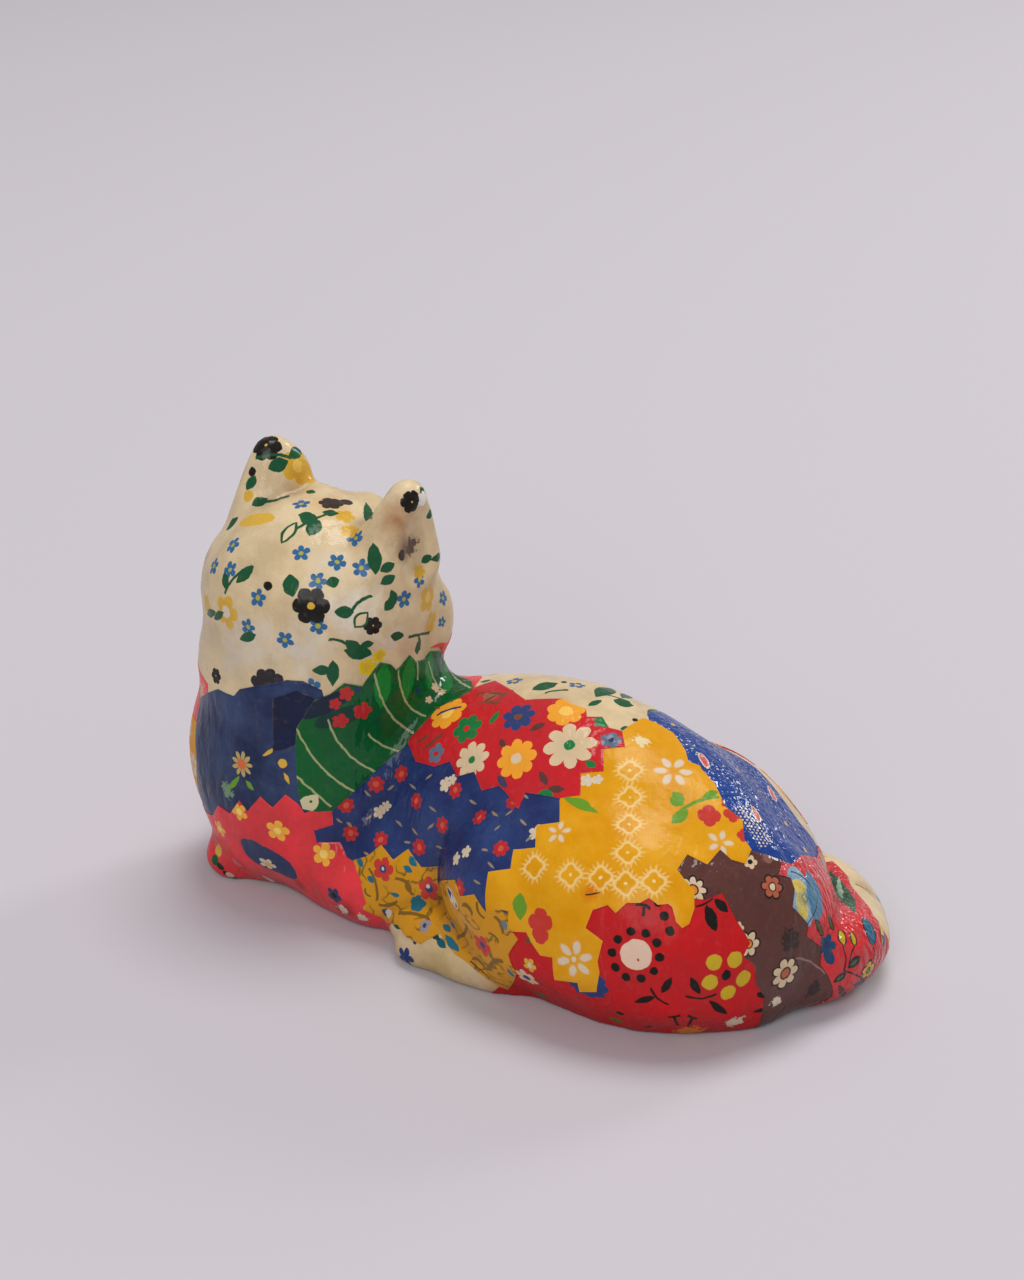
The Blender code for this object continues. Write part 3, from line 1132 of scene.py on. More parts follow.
BROWN_OUTLINE = ((677, 870), (687, 850), (707, 855), (720, 840), (731, 852), (752, 851),
    (785, 862), (799, 867), (812, 880), (812, 905), (824, 930), (834, 965), (840, 1000),
    (73, 0, GROUND), (68, -12, GROUND), (764, 996), (756, 985), (754, 965), (743, 956), (750, 943),
    (736, 920), (732, 912), (722, 893), (705, 900), (690, 898), (682, 884))
BLOOD_OUTLINE = ((575, 925), (598, 890), (680, 885), (726, 885), (745, 905), (762, 940),
    (768, 990), (70, -6, GROUND), (64, -14, GROUND), (55, -26, GROUND), (44, -30, GROUND),
    (34, -31, GROUND), (590, 1000), (585, 960))
CRIMSON_OUTLINE = ((498, 920), (540, 915), (600, 950), (612, 990), (606, 1012), (38, -31, GROUND),
    (30, -31, GROUND), (19, -34, GROUND), (503, 984), (500, 950))
KNEE_FRONT_OUTLINE = ((354, 860), (369, 856), (382, 845), (394, 860), (409, 849), (422, 867),
    (432, 880), (436, 905), (450, 930), (437, 935), (421, 944), (407, 937), (399, 925), (388, 922),
    (362, 907), (367, 903), (362, 881))
KNEE_OUTLINE = ((418, 868), (422, 867), (439, 866), (439, 884), (456, 880), (461, 896), (475, 894),
    (487, 912), (500, 909), (509, 911), (509, 927), (519, 939), (509, 954), (517, 972), (508, 988),
    (492, 980), (468, 962), (456, 954), (447, 943), (441, 933), (430, 918), (422, 898))
RUMP_OUTLINE = ((778, 875), (781, 862), (790, 865), (800, 856), (816, 859), (817, 846), (832, 862),
    (848, 878), (860, 898), (872, 916), (883, 932), (888, 950), (881, 970), (862, 986),
    (78, 14, GROUND), (73, 2, GROUND), (831, 996), (828, 976), (820, 965), (821, 947), (806, 936),
    (808, 925), (792, 907), (794, 889), (790, 878))
DARK_SCRAP_OUTLINE = ((273, 698), (297, 690), (320, 700), (300, 727), (300, 743), (282, 750),
    (273, 752))
CHEST_PINK_OUTLINE = ((208, 684), (208, 700), (206, 750), (-71, -20, 30), (-68, -20, 49))
CHEST_YELLOW_OUTLINE = ((208, 733), (208, 812), (208, 830), (-72, -14, 9), (-74, -14, 33))
NAPE_PINK_OUTLINE = ((430, 648), (442, 653), (474, 688), (-16, 2, 48), (-21, 6, 50), (-27, 8, 52))

COLLAR_LINES = (
    ((297, 729), (354, 791), (321, 766)),
    ((328, 720), (377, 772), (345, 750)),
    ((368, 734), (403, 751), (384, 746)),
    ((374, 674), (413, 733), (383, 703)),
    ((398, 672), (431, 718), (404, 700)),
    ((427, 662), (444, 692), (431, 676)),
    ((416, 661), (416, 680)),
    ((447, 664), (470, 690)),
    ((297, 776), (331, 806)),
)


def calico_flower(x, y, radius=9.5):
    return blossom(x, y, radius, SKY, (170, 168, 70), notch=0.6, core_share=0.26, turn=x * 7 % 72)


def dark_flower(x, y, radius, core=0.2):
    return blossom(x, y, radius, BLACK, LEMON, petals=6, notch=0.25, core_share=core)


HEAD_BACK_MOTIFS = [
    # The veils at about (355, 612) and (396, 640) paint the soft sheen low on the head's near
    # side; the other veils are pale smudges.
    veil_and_sheen(355, 612, 46, (226, 218, 204)), veil_and_sheen(250, 640, 42, (212, 205, 192)),
    veil_and_sheen(300, 650, 40, (214, 208, 194)), veil_and_sheen(330, 560, 30, (216, 204, 182)),
    veil_and_sheen(232, 660, 26, (200, 190, 174)), veil_and_sheen(396, 640, 22, (216, 206, 190)),
    *(calico_flower(x, y) for x, y in (
        (337, 562), (301, 553), (318, 581), (233, 545), (230, 570), (214, 566), (258, 598),
        (285, 640), (318, 626), (356, 538), (361, 568), (404, 599), (312, 687), (301, 504))),
    *many(calico_flower, ((419, 580, 8), (248, 627, 9), (443, 598, 8), (442, 622, 6))),
    dark_flower(311, 606, 19), dark_flower(266, 445, 17, 0.1),
    plain(331, 503, 13, CHARCOAL, 6, 0.25), dark_flower(373, 626, 10, 0.1),
    dark_flower(412, 502, 12, 0.1), dot(268, 586, 5, BLACK), dot(252, 472, 5, BLACK),
    dot(346, 502, 7, CHARCOAL), oval(240, 523, 274, 519, 10, LEMON),
    *many(plain, ((345, 516, 11), (350, 531, 10), (419, 572, 8)), LEMON),
    blossom(298, 466, 19, LEMON, CREAM_YELLOW), plain(308, 474, 12, LEMON),
    blossom(226, 612, 18, LEMON, WHITE), plain(207, 605, 12, LEMON),
    blossom(428, 597, 17, LEMON, CREAM_YELLOW, 5, 0.4), plain(430, 622, 13, LEMON, 4, 0.4),
    dot(248, 496, 6, LEMON), blossom(379, 656, 8, ACID_YELLOW, LEMON),
    blossom(367, 667, 10, ACID_YELLOW, LEMON), stem(283, 541, 337, 513, 4),
    sprig(281, 544, 297, 522, 7, inner=CREAM),
    *many(sprig, ((300, 517, 318, 521, 8), (309, 536, 319, 520, 8), (322, 512, 338, 514, 6),
        (298, 515, 313, 515, 5), (268, 469, 288, 461, 7), (288, 458, 302, 448, 6))),
    stem(256, 458, 290, 458, 3), sprig(246, 490, 256, 476, 5), sprig(252, 505, 268, 499, 5),
    stem(259, 502, 289, 496, -3),
    *many(sprig, ((226, 530, 238, 518, 6), (289, 574, 293, 597, 8), (306, 491, 315, 493, 4),
        (384, 611, 396, 598, 5), (391, 590, 396, 604, 4))),
    stem(225, 593, 252, 566, 4),
    *many(sprig, ((236, 583, 254, 566, 6), (227, 590, 224, 572, 5), (373, 542, 376, 575, 7),
        (380, 571, 395, 563, 5), (380, 584, 395, 576, 5), (366, 502, 372, 519, 5),
        (334, 612, 354, 612, 6))),
    stem(350, 612, 372, 596, 3), sprig(354, 628, 368, 612, 7, inner=CREAM),
    *many(sprig, ((326, 584, 340, 580, 5), (387, 604, 397, 598, 5), (390, 636, 404, 636, 5))),
    stem(409, 637, 429, 633, 1), stem(419, 635, 420, 650), sprig(417, 655, 420, 638, 5),
    stem(329, 639, 352, 648, 3),
    *many(sprig, ((344, 650, 372, 654, 8), (346, 640, 360, 652, 6), (360, 646, 374, 643, 4),
        (312, 670, 332, 670, 5), (333, 660, 333, 686, 6), (207, 614, 216, 612, 4),
        (214, 619, 224, 612, 4), (421, 562, 432, 556, 4), (430, 560, 440, 554, 4),
        (420, 494, 428, 486, 4), (426, 518, 433, 509, 4), (240, 640, 256, 634, 5))),
    plain(268, 688, 21, (46, 42, 46), 9, 0.2), dark_flower(216, 676, 9, 0.1),
    # The two stains and the dark dot in the near ear's hollow paint its shade.
    stain(398, 520, 32, (200, 164, 144)), stain(404, 548, 24, (160, 128, 108)),
    plain(423, 499, 8, (236, 234, 226), notch=0.3), dot(402, 555, 6, EAR_PIT_SHADE),
    worn(411, 546, 14, (110, 90, 76)), stain(205, 560, 24, (222, 206, 186)),
    stain(300, 480, 26, (240, 220, 184)), stain(232, 470, 20, (226, 220, 204)),
    stain(330, 505, 34, (240, 218, 180)),
]

NAVY_MOTIFS = [
    blossom(242, 764, 14, (190, 168, 104), (214, 106, 60), petals=9, notch=0.8, core_share=0.4),
    dot(283, 763, 5, LEMON), worn(228, 790, 12, (110, 140, 110)),
    leaf(228, 790, 240, 776, 3, APPLE), leaf(246, 780, 254, 790, 3, APPLE),
    leaf(262, 756, 276, 748, 2, LEMON), leaf(284, 772, 290, 784, 2, LEMON),
]

CORAL_MOTIFS = [
    *(blossom(x, y, r, STAR, STAR_CORE, notch=0.55, turn=turn) for x, y, r, turn in (
        (221, 828, 10, 20), (240, 811, 11, 50), (278, 830, 13, 10), (324, 854, 13, 0))),
    oval(242, 839, 297, 877, 19, OVAL_BLUE), blossom(268, 863, 10, WHITE, LEMON, notch=0.6),
    # The two dark stains along the foreleg's lower edge are painted shade near the floor.
    stain(300, 884, 16, (150, 104, 92)), stain(345, 908, 20, (140, 96, 88)),
    blossom(335, 895, 10, OVAL_BLUE, BLACK), worn(344, 909, 11), worn(363, 917, 10),
    leaf(262, 874, 276, 885, 4, WHITE), dot(220, 850, 7, LEMON), dot(216, 860, 6, KELLY),
    dot(221, 866, 5, (30, 44, 36)), dot(226, 872, 4, BLACK), dot(234, 877, 4, BLACK),
    dot(238, 862, 7, (206, 110, 112)), dot(230, 874, 5, WHITE),
]

COLLAR_MOTIFS = [
    oval(300, 716, 352, 690, 9, (20, 36, 54)), oval(314, 724, 366, 706, 10, (12, 56, 48)),
    *many(plain, ((362, 710, 10), (340, 720, 9), (346, 693, 8), (335, 703, 7)), POPPY),
    *many(dot, ((351, 682, 4), (357, 689, 4), (417, 690, 4)), NAVY),
    *many(leaf, ((380, 708, 384, 662, 10), (404, 700, 410, 655, 9), (428, 690, 430, 651, 8),
        (446, 694, 448, 660, 6)), BRIGHT_GREEN),
    *(arc(line, PALE_LINE, 1.1) for line in COLLAR_LINES),
    *many(plain, ((434, 688, 6), (428, 701, 5), (441, 694, 5)), PETAL),
    leaf(299, 812, 318, 794, 9, (206, 200, 158)), dot(311, 801, 2.2, KELLY),
]

INDIGO_MOTIFS = [
    *(blossom(x, y, 9, POPPY, (206, 84, 70), petals=7, notch=0.4, turn=x) for x, y in (
        (376, 784), (402, 774), (417, 801), (346, 805), (443, 825), (480, 818), (514, 802),
        (420, 847), (501, 849), (351, 833), (381, 840), (460, 888), (456, 790))),
    *(blossom(x, y, r, WHITE, PETAL, petals=5, notch=0.5) for x, y, r in (
        (380, 812, 7), (387, 806, 6), (446, 785, 8), (453, 780, 6), (457, 859, 7), (467, 852, 7),
        (537, 833, 9))),
    *(leaf(x, y, x + 7, y + dy, 1.3, (150, 130, 104)) for x, y, dy in (
        (364, 790, 6), (388, 790, -5), (396, 820, 7), (430, 806, 6), (428, 830, -7), (436, 846, 3),
        (470, 800, 5), (492, 812, 5), (494, 832, -6), (482, 850, 1), (488, 862, 7), (474, 880, 4),
        (404, 842, 1), (412, 828, 7), (366, 820, -6), (336, 818, 5), (520, 820, 6), (364, 852, 4),
        (506, 816, -5), (522, 794, 5), (410, 784, 6), (426, 780, -6), (346, 822, 5),
        (526, 842, -5))),
]

DAISY_MOTIFS = [
    blossom(570, 746, 27, PETAL, GREEN_EYE, petals=8, notch=0.4, core_share=0.22),
    blossom(473, 760, 20, PETAL, GREEN_EYE, petals=8, notch=0.4, core_share=0.22),
    blossom(517, 759, 22, AMBER, PETAL, petals=8, notch=0.3, core_share=0.28),
    blossom(566, 712, 20, AMBER, (244, 196, 92), petals=7, notch=0.25),
    blossom(449, 714, 21, AMBER, (244, 196, 92), petals=7, notch=0.25),
    stem(438, 716, 462, 708, 2, NAVY, 1.6),
    blossom(468, 729, 17, GREEN_EYE, SCARLET, petals=6, notch=0.4, core_share=0.25),
    blossom(519, 718, 18, INDIGO, (120, 70, 50), petals=7, notch=0.35, core_share=0.25),
    blossom(437, 754, 11, DUSK_BLUE, SCARLET, core_share=0.3),
    blossom(611, 741, 11, DUSK_BLUE, NAVY, core_share=0.3), plain(602, 723, 9, GREEN_EYE),
    dot(545, 798, 9, GREEN_EYE), leaf(530, 732, 546, 724, 4, BROWN),
    leaf(548, 790, 566, 790, 4, BROWN), leaf(500, 712, 490, 726, 4, GREEN_EYE),
    leaf(498, 776, 508, 788, 4, (70, 60, 90)), leaf(540, 772, 548, 786, 4, BROWN),
    leaf(500, 740, 506, 748, 3, BROWN), leaf(586, 762, 596, 768, 4, GREEN_EYE),
    worn(492, 697, 12, (150, 100, 78)),
    *(leaf(x, y, x + dx, y + dy, 2.4, SCUFF) for x, y, dx, dy in (
        (480, 706, 18, -10), (488, 694, 22, 2), (498, 704, 10, -12), (474, 698, 16, -6),
        (416, 744, 16, -9), (424, 750, 14, -10), (432, 742, 14, -8), (486, 703, 16, 2))),
]
TRELLIS_SPOTS = ((630, 771), (630, 798), (629, 825), (628, 853), (626, 884), (601, 878),
                 (571, 875), (654, 882), (535, 867))
YELLOW_MOTIFS = [
    *(ring(x, y, 9.8, 1.3, TRELLIS) for x, y in TRELLIS_SPOTS),
    *(dot(x, y, 2.0, TRELLIS) for x, y in TRELLIS_SPOTS[:-1]),
    spray(673, 772, 19, WHITE), spray(575, 959, 19, WHITE, turn=20), dot(575, 959, 3, WHITE),
    spray(559, 833, 12, WHITE, 5), spray(720, 843, 13, WHITE, 5), plain(587, 781, 7, WHITE),
    plain(598, 780, 6, WHITE),
    *many(leaf, ((521, 892, 521, 920, 8), (562, 797, 599, 814, 5), (574, 798, 592, 812, 5),
        (670, 798, 684, 806, 6), (672, 824, 688, 810, 6)), APPLE),
    stem(680, 812, 718, 798, 3, APPLE, 1.8), leaf(684, 802, 672, 793, 5, APPLE),
    leaf(702, 798, 718, 792, 4, APPLE),
    *many(plain, ((709, 816, 12), (732, 815, 9), (743, 836, 7)), TULIP, petals=4, notch=0.3),
    plain(726, 804, 6, TULIP), plain(541, 922, 14, TULIP, petals=4, notch=0.3),
    plain(541, 934, 10, TULIP, petals=4, notch=0.2), worn(641, 742, 12, (226, 208, 160)),
    stain(592, 893, 14, (240, 170, 120)), stem(586, 895, 600, 893, 0, BLACK, 0.6),
]

ROYAL_MOTIFS = [
    *(oval(x, y, x + 8, y + 16, 4.5, WHITE, ROSE) for x, y in (
        (700, 753), (752, 806), (768, 786), (804, 818))),
    *(dot(x, y, 3, LEMON) for x, y in ((673, 725), (738, 771), (805, 850), (786, 824))),
    speckle(740, 806, 768, 846, 11, WHITE, 3.9, 1.1),
    speckle(655, 722, 760, 818, 2, WHITE, 7, 1.2), speckle(690, 732, 800, 836, 2, WHITE, 7, 1.2),
    speckle(756, 790, 796, 800, 2, WHITE, 6, 1.1),
]

BROWN_MOTIFS = [
    *outlined(785, 973, 16, PETAL, RUST, petals=7), *outlined(772, 887, 11, RUST, PETAL, petals=6),
    *outlined(693, 890, 13, PETAL, ORANGE, petals=8),
    *outlined(748, 944, 12, PETAL, ORANGE, petals=6), plain(738, 928, 6, PETAL),
    blossom(750, 862, 7, PETAL, BLACK), stem(796, 958, 824, 973, 3, (140, 108, 100), 0.9),
    worn(790, 940, 16, (52, 34, 32)), worn(813, 989, 12, (48, 30, 28)), worn(776, 1001, 8),
    worn(766, 858, 8, (130, 90, 84)),
]


BLOOD_MOTIFS = [
    dot(636, 955, 15, DISC), dot(638, 960, 1.4, CRIMSON),
    *beads(636, 955, 24, 10, 4.4, BLACK, 0.1),
    *many(dot, ((664, 916, 4.4), (670, 931, 4.4), (726, 975, 5)), BLACK),
    *beads(726, 975, 17.5, 5, 8, OLIVE, 1.45),
    stem(650, 987, 668, 1004, -3, BLACK, 1.2), leaf(661, 993, 672, 977, 4, BLACK),
    leaf(634, 1002, 655, 996, 4, BLACK), stem(686, 996, 716, 994, -3, BLACK, 1.2),
    *many(leaf, ((690, 977, 700, 994, 4), (709, 1000, 727, 1014, 4), (706, 905, 716, 932, 6),
        (714, 899, 728, 912, 5)), BLACK),
    stem(696, 906, 712, 898, -2, BLACK, 1),
    *many(stem, ((668, 1017, 680, 1015, 0), (674, 1016, 678, 1025, 0), (688, 1015, 697, 1019, 0),
        (692, 1017, 688, 1026, 0)), BLACK, 1.6),
    stem(636, 905, 650, 909, 2, BLACK, 1.5), stem(644, 907, 643, 916, 0, BLACK, 1.5),
    leaf(654, 901, 660, 907, 2.5, BLACK), dot(620, 1013, 4, BLACK),
    leaf(608, 1018, 624, 1022, 5, (110, 100, 40)),
    *many(leaf, ((644, 1027, 654, 1026, 2), (752, 1012, 768, 1008, 3),
        (757, 992, 764, 998, 3)), BLACK),
    worn(734, 1022, 14), worn(690, 1031, 20, ORANGE),
]

CRIMSON_MOTIFS = [
    blossom(530, 965, 8, LEMON, PETAL, petals=5, notch=0.6),
    blossom(527, 977, 13, PETAL, INDIGO, petals=6, notch=0.4, core_share=0.35),
    leaf(534, 990, 547, 998, 5, GREEN_EYE), stem(536, 980, 560, 994, 2, BROWN, 1.3),
    blossom(588, 984, 21, INDIGO, DEEP_INDIGO, petals=9, notch=0.2),
    leaf(527, 944, 532, 934, 3, (90, 80, 40)),
]

KNEE_FRONT_MOTIFS = [
    blossom(384, 869, 13, TULIP, INDIGO, core_share=0.36), dot(384, 869, 2.6, WHITE),
    *many(leaf, ((410, 856, 417, 867, 4), (404, 866, 413, 872, 3.5), (368, 876, 376, 882, 3.5),
        (391, 893, 401, 895, 2.5), (358, 858, 364, 867, 3)), TEAL),
    plain(419, 904, 10, TEAL, notch=0.2), dot(387, 912, 5, INDIGO), worn(390, 913, 8),
    blossom(426, 926, 8, (150, 140, 150), OVAL_BLUE), stem(370, 868, 378, 900, 5, SMUDGE, 1.6),
    stem(396, 878, 412, 890, 4, SMUDGE, 2), stem(398, 900, 380, 904, 3, SMUDGE, 1.6),
    stem(408, 880, 414, 894, -3, SMUDGE, 2.4), stem(366, 888, 372, 896, -2, SMUDGE, 1.6),
    stem(400, 914, 436, 922, 2, SMUDGE, 1.8),
]

KNEE_MOTIFS = [
    blossom(430, 888, 13, TULIP, INDIGO, petals=5, core_share=0.4, turn=20),
    dot(429, 886, 3, WHITE), blossom(484, 944, 13, TULIP, INDIGO, core_share=0.34, turn=10),
    oval(449, 886, 460, 908, 5, WHITE, INDIGO), worn(455, 900, 8),
    *many(leaf, ((444, 925, 452, 932, 3.5), (452, 920, 458, 929, 2.5),
        (446, 935, 460, 952, 4.5)), TEAL),
    stem(438, 898, 450, 912, 4, SMUDGE, 1.8), stem(464, 904, 474, 914, 4, SMUDGE, 2.4),
    stem(468, 924, 460, 936, 3, SMUDGE, 1.8), stem(496, 916, 504, 932, 4, SMUDGE, 2),
    stem(474, 958, 486, 966, 3, SMUDGE, 2), stem(492, 964, 504, 960, 2, SMUDGE, 2.2),
    stem(478, 902, 486, 918, -3, SMUDGE, 1.6), stem(490, 932, 500, 942, 3, SMUDGE, 1.6),
    leaf(500, 906, 508, 912, 2, NAVY), leaf(504, 918, 508, 930, 3, (100, 120, 130)),
    stem(472, 960, 506, 984, 1, (60, 40, 30), 0.7), leaf(508, 966, 516, 976, 3, TEAL),
]

RUMP_MOTIFS = [
    oval(780, 868, 800, 878, 7, ROSE), oval(790, 866, 806, 928, 16, (130, 166, 190)),
    oval(806, 872, 816, 922, 12, (74, 124, 156)), oval(791, 882, 805, 894, 8, (214, 190, 96)),
    oval(798, 892, 804, 920, 8, (206, 186, 90)), ring(804, 898, 4, 1.0, TEAL),
    dot(804, 898, 1.6, LEMON),
    *many(stem, ((790, 872, 812, 890, 4), (788, 892, 792, 916, -3),
        (806, 924, 816, 896, -3)), INK, 0.7),
    leaf(816, 850, 828, 876, 8, INK, (170, 160, 60)), leaf(830, 872, 854, 914, 11, (24, 84, 52)),
    leaf(838, 878, 842, 900, 3, (150, 190, 160)), dot(810, 852, 4, (214, 120, 124)),
    oval(814, 920, 822, 936, 4, INK, (80, 90, 50)), oval(827, 914, 833, 930, 4, INK, (80, 90, 50)),
    blossom(826, 945, 11, (30, 70, 104), NAVY), oval(824, 948, 832, 964, 6, (30, 64, 100)),
    oval(839, 930, 843, 946, 5, INK, OLIVE), oval(850, 932, 854, 946, 4, INK, OLIVE),
    stem(842, 946, 843, 970, 2, INK, 0.9), stem(853, 946, 848, 968, -2, INK, 0.9),
    oval(862, 918, 872, 946, 8, INK, (40, 100, 130)), oval(876, 918, 881, 946, 5, INK, LEMON),
    leaf(880, 934, 884, 946, 3, INDIGO), *outlined(867, 970, 10, LEMON, APPLE),
    leaf(846, 968, 860, 956, 5, INK, (60, 90, 50)), leaf(832, 982, 846, 972, 5, INK, (60, 90, 50)),
    leaf(838, 984, 844, 996, 4, (90, 30, 40)), stem(843, 970, 866, 984, 3, INK, 0.9),
    stem(872, 946, 872, 962, 2, INK, 0.9), leaf(852, 984, 864, 980, 4, (40, 60, 90)),
]

TOP_MOTIFS = [
    blossom(514, 681, 9, SKY, LEMON, notch=0.55), blossom(577, 685, 9, SKY, LEMON, notch=0.55),
    sprig(532, 690, 558, 683, 9), stem(545, 693, 568, 690, 1),
    *many(dot, ((564, 682, 3), (566, 704, 3), (635, 720, 3)), BLACK),
    stem(600, 694, 630, 702, 2),
    *many(sprig, ((596, 697, 613, 689, 9), (613, 700, 634, 706, 10), (622, 698, 632, 692, 6),
        (620, 729, 634, 729, 4), (647, 716, 657, 710, 4), (504, 690, 514, 694, 4),
        (588, 706, 602, 700, 4))),
    calico_flower(500, 700, 6), sprig(480, 682, 492, 680, 4),
]

FOOT_MOTIFS = [
    stain(440, 965, 50, (255, 238, 206)), stain(500, 985, 30, (248, 220, 184)),
    stain(880, 960, 40, (236, 214, 180)), stain(868, 890, 22, (226, 206, 180)),
    stem(856, 884, 876, 900, 2, (70, 80, 80), 0.9), stem(866, 888, 884, 910, 2, (90, 96, 90), 0.8),
    plain(405, 957, 11, DEEP_BLUE, notch=0.6), leaf(392, 922, 402, 929, 3),
    leaf(436, 938, 446, 948, 4, (20, 90, 100)), leaf(430, 932, 440, 940, 3, (30, 60, 60)),
    dot(415, 941, 3, DEEP_BLUE),
]

# The face, which the camera doesn't see: brush-painted eyes, nose and mouth

EYE_HEIGHT = 67.0
NOSE = (-45.1, 14, 60.5)
FACE_MOTIFS = (
    [far_oval((x - 5, 12, EYE_HEIGHT), (x + 5, 12, EYE_HEIGHT), 3.0, BLACK, (178, 168, 60))
     for x in (-35.2, -55.0)]
    + [far_oval((x, 12, EYE_HEIGHT - 2.2), (x, 12, EYE_HEIGHT + 2.2), 0.8, BLACK)
       for x in (-35.2, -55.0)]
    + [far_leaf((NOSE[0] - 3.4, 16, 60.6), (NOSE[0] + 3.4, 16, 60.6), 2.0, (120, 62, 58))]
    + [far_stem((NOSE[0], 16, 58.8), (NOSE[0], 16, 55.5), 0, BLACK)]
    + [far_stem((NOSE[0], 16, 55.5), (NOSE[0] + side * 6, 13, 57), side * 1.3, BLACK)
       for side in (-1, 1)]
)


FEATURES = ((-35.2, 12, EYE_HEIGHT), (-55.0, 12, EYE_HEIGHT), NOSE, (-45.1, 14, 55))
HEAD_CENTRE = np.array((-0.045, -0.010, 0.066))
UNSEEN_DEPTH = 0.0025
TAIL_PRINT_FROM = 0.024
GROUND_CLEAR = 0.004


# Base pieces

MOTIF_MARGIN = 0.8


class Base:
    """A part of the paper skin that carries the cream calico."""

    def __init__(self, skin, name, chosen):
        self.name = name
        self.triangles = skin.triangles[chosen]
        used, corners = np.unique(self.triangles, return_inverse=True)
        mesh = bpy.data.meshes.new(name)
        mesh.from_pydata(skin.points[used].tolist(), [], corners.reshape(-1, 3).tolist())
        mesh.shade_smooth()
        mesh.normals_split_custom_set_from_vertices(skin.normals[used].tolist())
        add_values(mesh, "hollow", skin.hollows[used])
        self.points = skin.points[used]
        self.obj = linked(name, mesh)

    def carries(self, place, values):
        """Whether a motif at this place can reach the piece."""
        reach = max(values.get("Radius", 0), values.get("Length", 0)) + MOTIF_MARGIN
        return np.linalg.norm(self.points - np.array(place), axis=1).min() < reach * MM


NECK_CUT = 0.047
BREAST_CUT = -0.012
FACE_CUT = -0.012
CROWN_CUT = 0.073
HALF_CUT = -0.041


def base_pieces(skin):
    """The body, the face and the back of the head, whose seams the even print hides."""
    x, y, z = skin.points[skin.triangles].mean(axis=1).T
    head = (z > NECK_CUT) & (x < BREAST_CUT)
    back = head & (y < FACE_CUT)
    crown = z > CROWN_CUT
    near = x > HALF_CUT
    return [Base(skin, "body_base", ~head), Base(skin, "head_face", head & ~back),
            Base(skin, "head_near", back & ~crown & near),
            Base(skin, "head_far", back & ~crown & ~near),
            Base(skin, "crown_near", back & crown & near),
            Base(skin, "crown_far", back & crown & ~near)]


# Hidden scraps, in millimetres. They carry the same cloths on, with scattered motifs.

HIDDEN_SCRAPS = {
    "bib_green": (KELLY_CLOTH, ((-62, 6, 47), (-30, 6, 49), (-27, 12, 28), (-62, 9, 27))),
    "bib_coral": (CORAL_CLOTH, ((-64, 6, 30), (-28, 12, 31), (-26, 14, 8), (-66, 8, 8))),
    "chest_navy": (NAVY_CLOTH, ((-72, -30, 48), (-68, 4, 50), (-66, 9, 26), (-74, -12, 26))),
    "chest_scarlet": (SCARLET_CLOTH, ((-74, -28, 30), (-74, 2, 29), (-68, 6, 4), (-70, -26, 4))),
    "shoulder_yellow": (YELLOW_CLOTH, ((-30, 8, 50), (-8, 14, 44), (-4, 24, 22), (-28, 14, 24))),
    "flank_indigo": (INDIGO_CLOTH, ((-10, 17, 38), (14, 22, 41), (16, 32, 20), (-8, 28, 18))),
    "flank_crimson": (CRIMSON_CLOTH, ((-30, 20, 28), (0, 28, 24), (6, 34, 3), (-32, 22, 3))),
    "hip_scarlet": (SCARLET_CLOTH, ((8, 20, 43), (34, 26, 39), (36, 33, 26), (12, 32, 24))),
    "hip_ochre": (OCHRE_CLOTH, ((2, 30, 27), (30, 34, 28), (34, 38, 12), (0, 34, 10))),
    "hip_yellow": (YELLOW_CLOTH, ((30, 28, 37), (50, 28, 31), (50, 34, 18), (30, 35, 24))),
    "tail_end_green": (KELLY_CLOTH, ((-40, 12, 10), (-12, 30, 13), (-12, 38, 1), (-46, 18, 1))),
}


# What is strewn out of sight: sizes in millimetres, and each leaf's angle and share of
# its flower's radius
FACE_SPACING = 7.6
FACE_SEED = 3
FACE_COUNT = 40
TAIL_SPACING = 13.0
TAIL_SEED = 5
TAIL_COUNT = 12
FEATURE_ROOM = 8.0
STREWN_TRIES = 900
STREWN_RADII = (1.5, 2.0)
STREWN_LEAF = 4.5
STREWN_SLOPE = 0.3
STREWN_RIM = 0.4
FILLER_TRIES = 400
FILLER_SPACING = 7.5
FILLER_RADII = (8 * PIXEL, 14 * PIXEL)
FILLER_PETALS = (5, 6, 8)
FILLER_GAP = 1.15
FILLER_LEAVES = ((1.25, 1.1), (2.1, 0.9))
HIDDEN_LAYERS = 4


def filler(chart, edge, flowers, seed):
    """Flowers and leaves strewn over a scrap, at least a spacing apart."""
    rng = random.Random(seed)
    low, high = edge.min(axis=0), edge.max(axis=0)
    kept = []
    for _ in range(FILLER_TRIES):
        spot = np.array([rng.uniform(low[i], high[i]) for i in range(2)])
        if all(np.linalg.norm(spot - other) > FILLER_SPACING for other in kept):
            kept.append(spot)
    kept = [s for s, inside in zip(kept, inside_outline(np.array(kept), edge)) if inside]
    drawn = []
    places = chart.raise_up(kept)[0] if kept else []
    for place in places:
        petal, core = rng.choice(flowers)
        turn = rng.uniform(0, 360)
        radius = rng.uniform(*FILLER_RADII)
        drawn.append(motif("blossom", [tuple(place / MM)], petal, core, turn, Radius=radius,
                           Petals=rng.choice(FILLER_PETALS), Notch=0.45, Core=0.32))
        a = math.radians(turn)
        for start, length in FILLER_LEAVES:
            along = chart.side * math.cos(a + start) + chart.rise * math.sin(a + start)
            near = place / MM + along * radius * FILLER_GAP
            far = near + along * radius * length
            drawn.append(far_leaf(tuple(near), tuple(far), 0.7, core, STREWN_RIM))
    return drawn


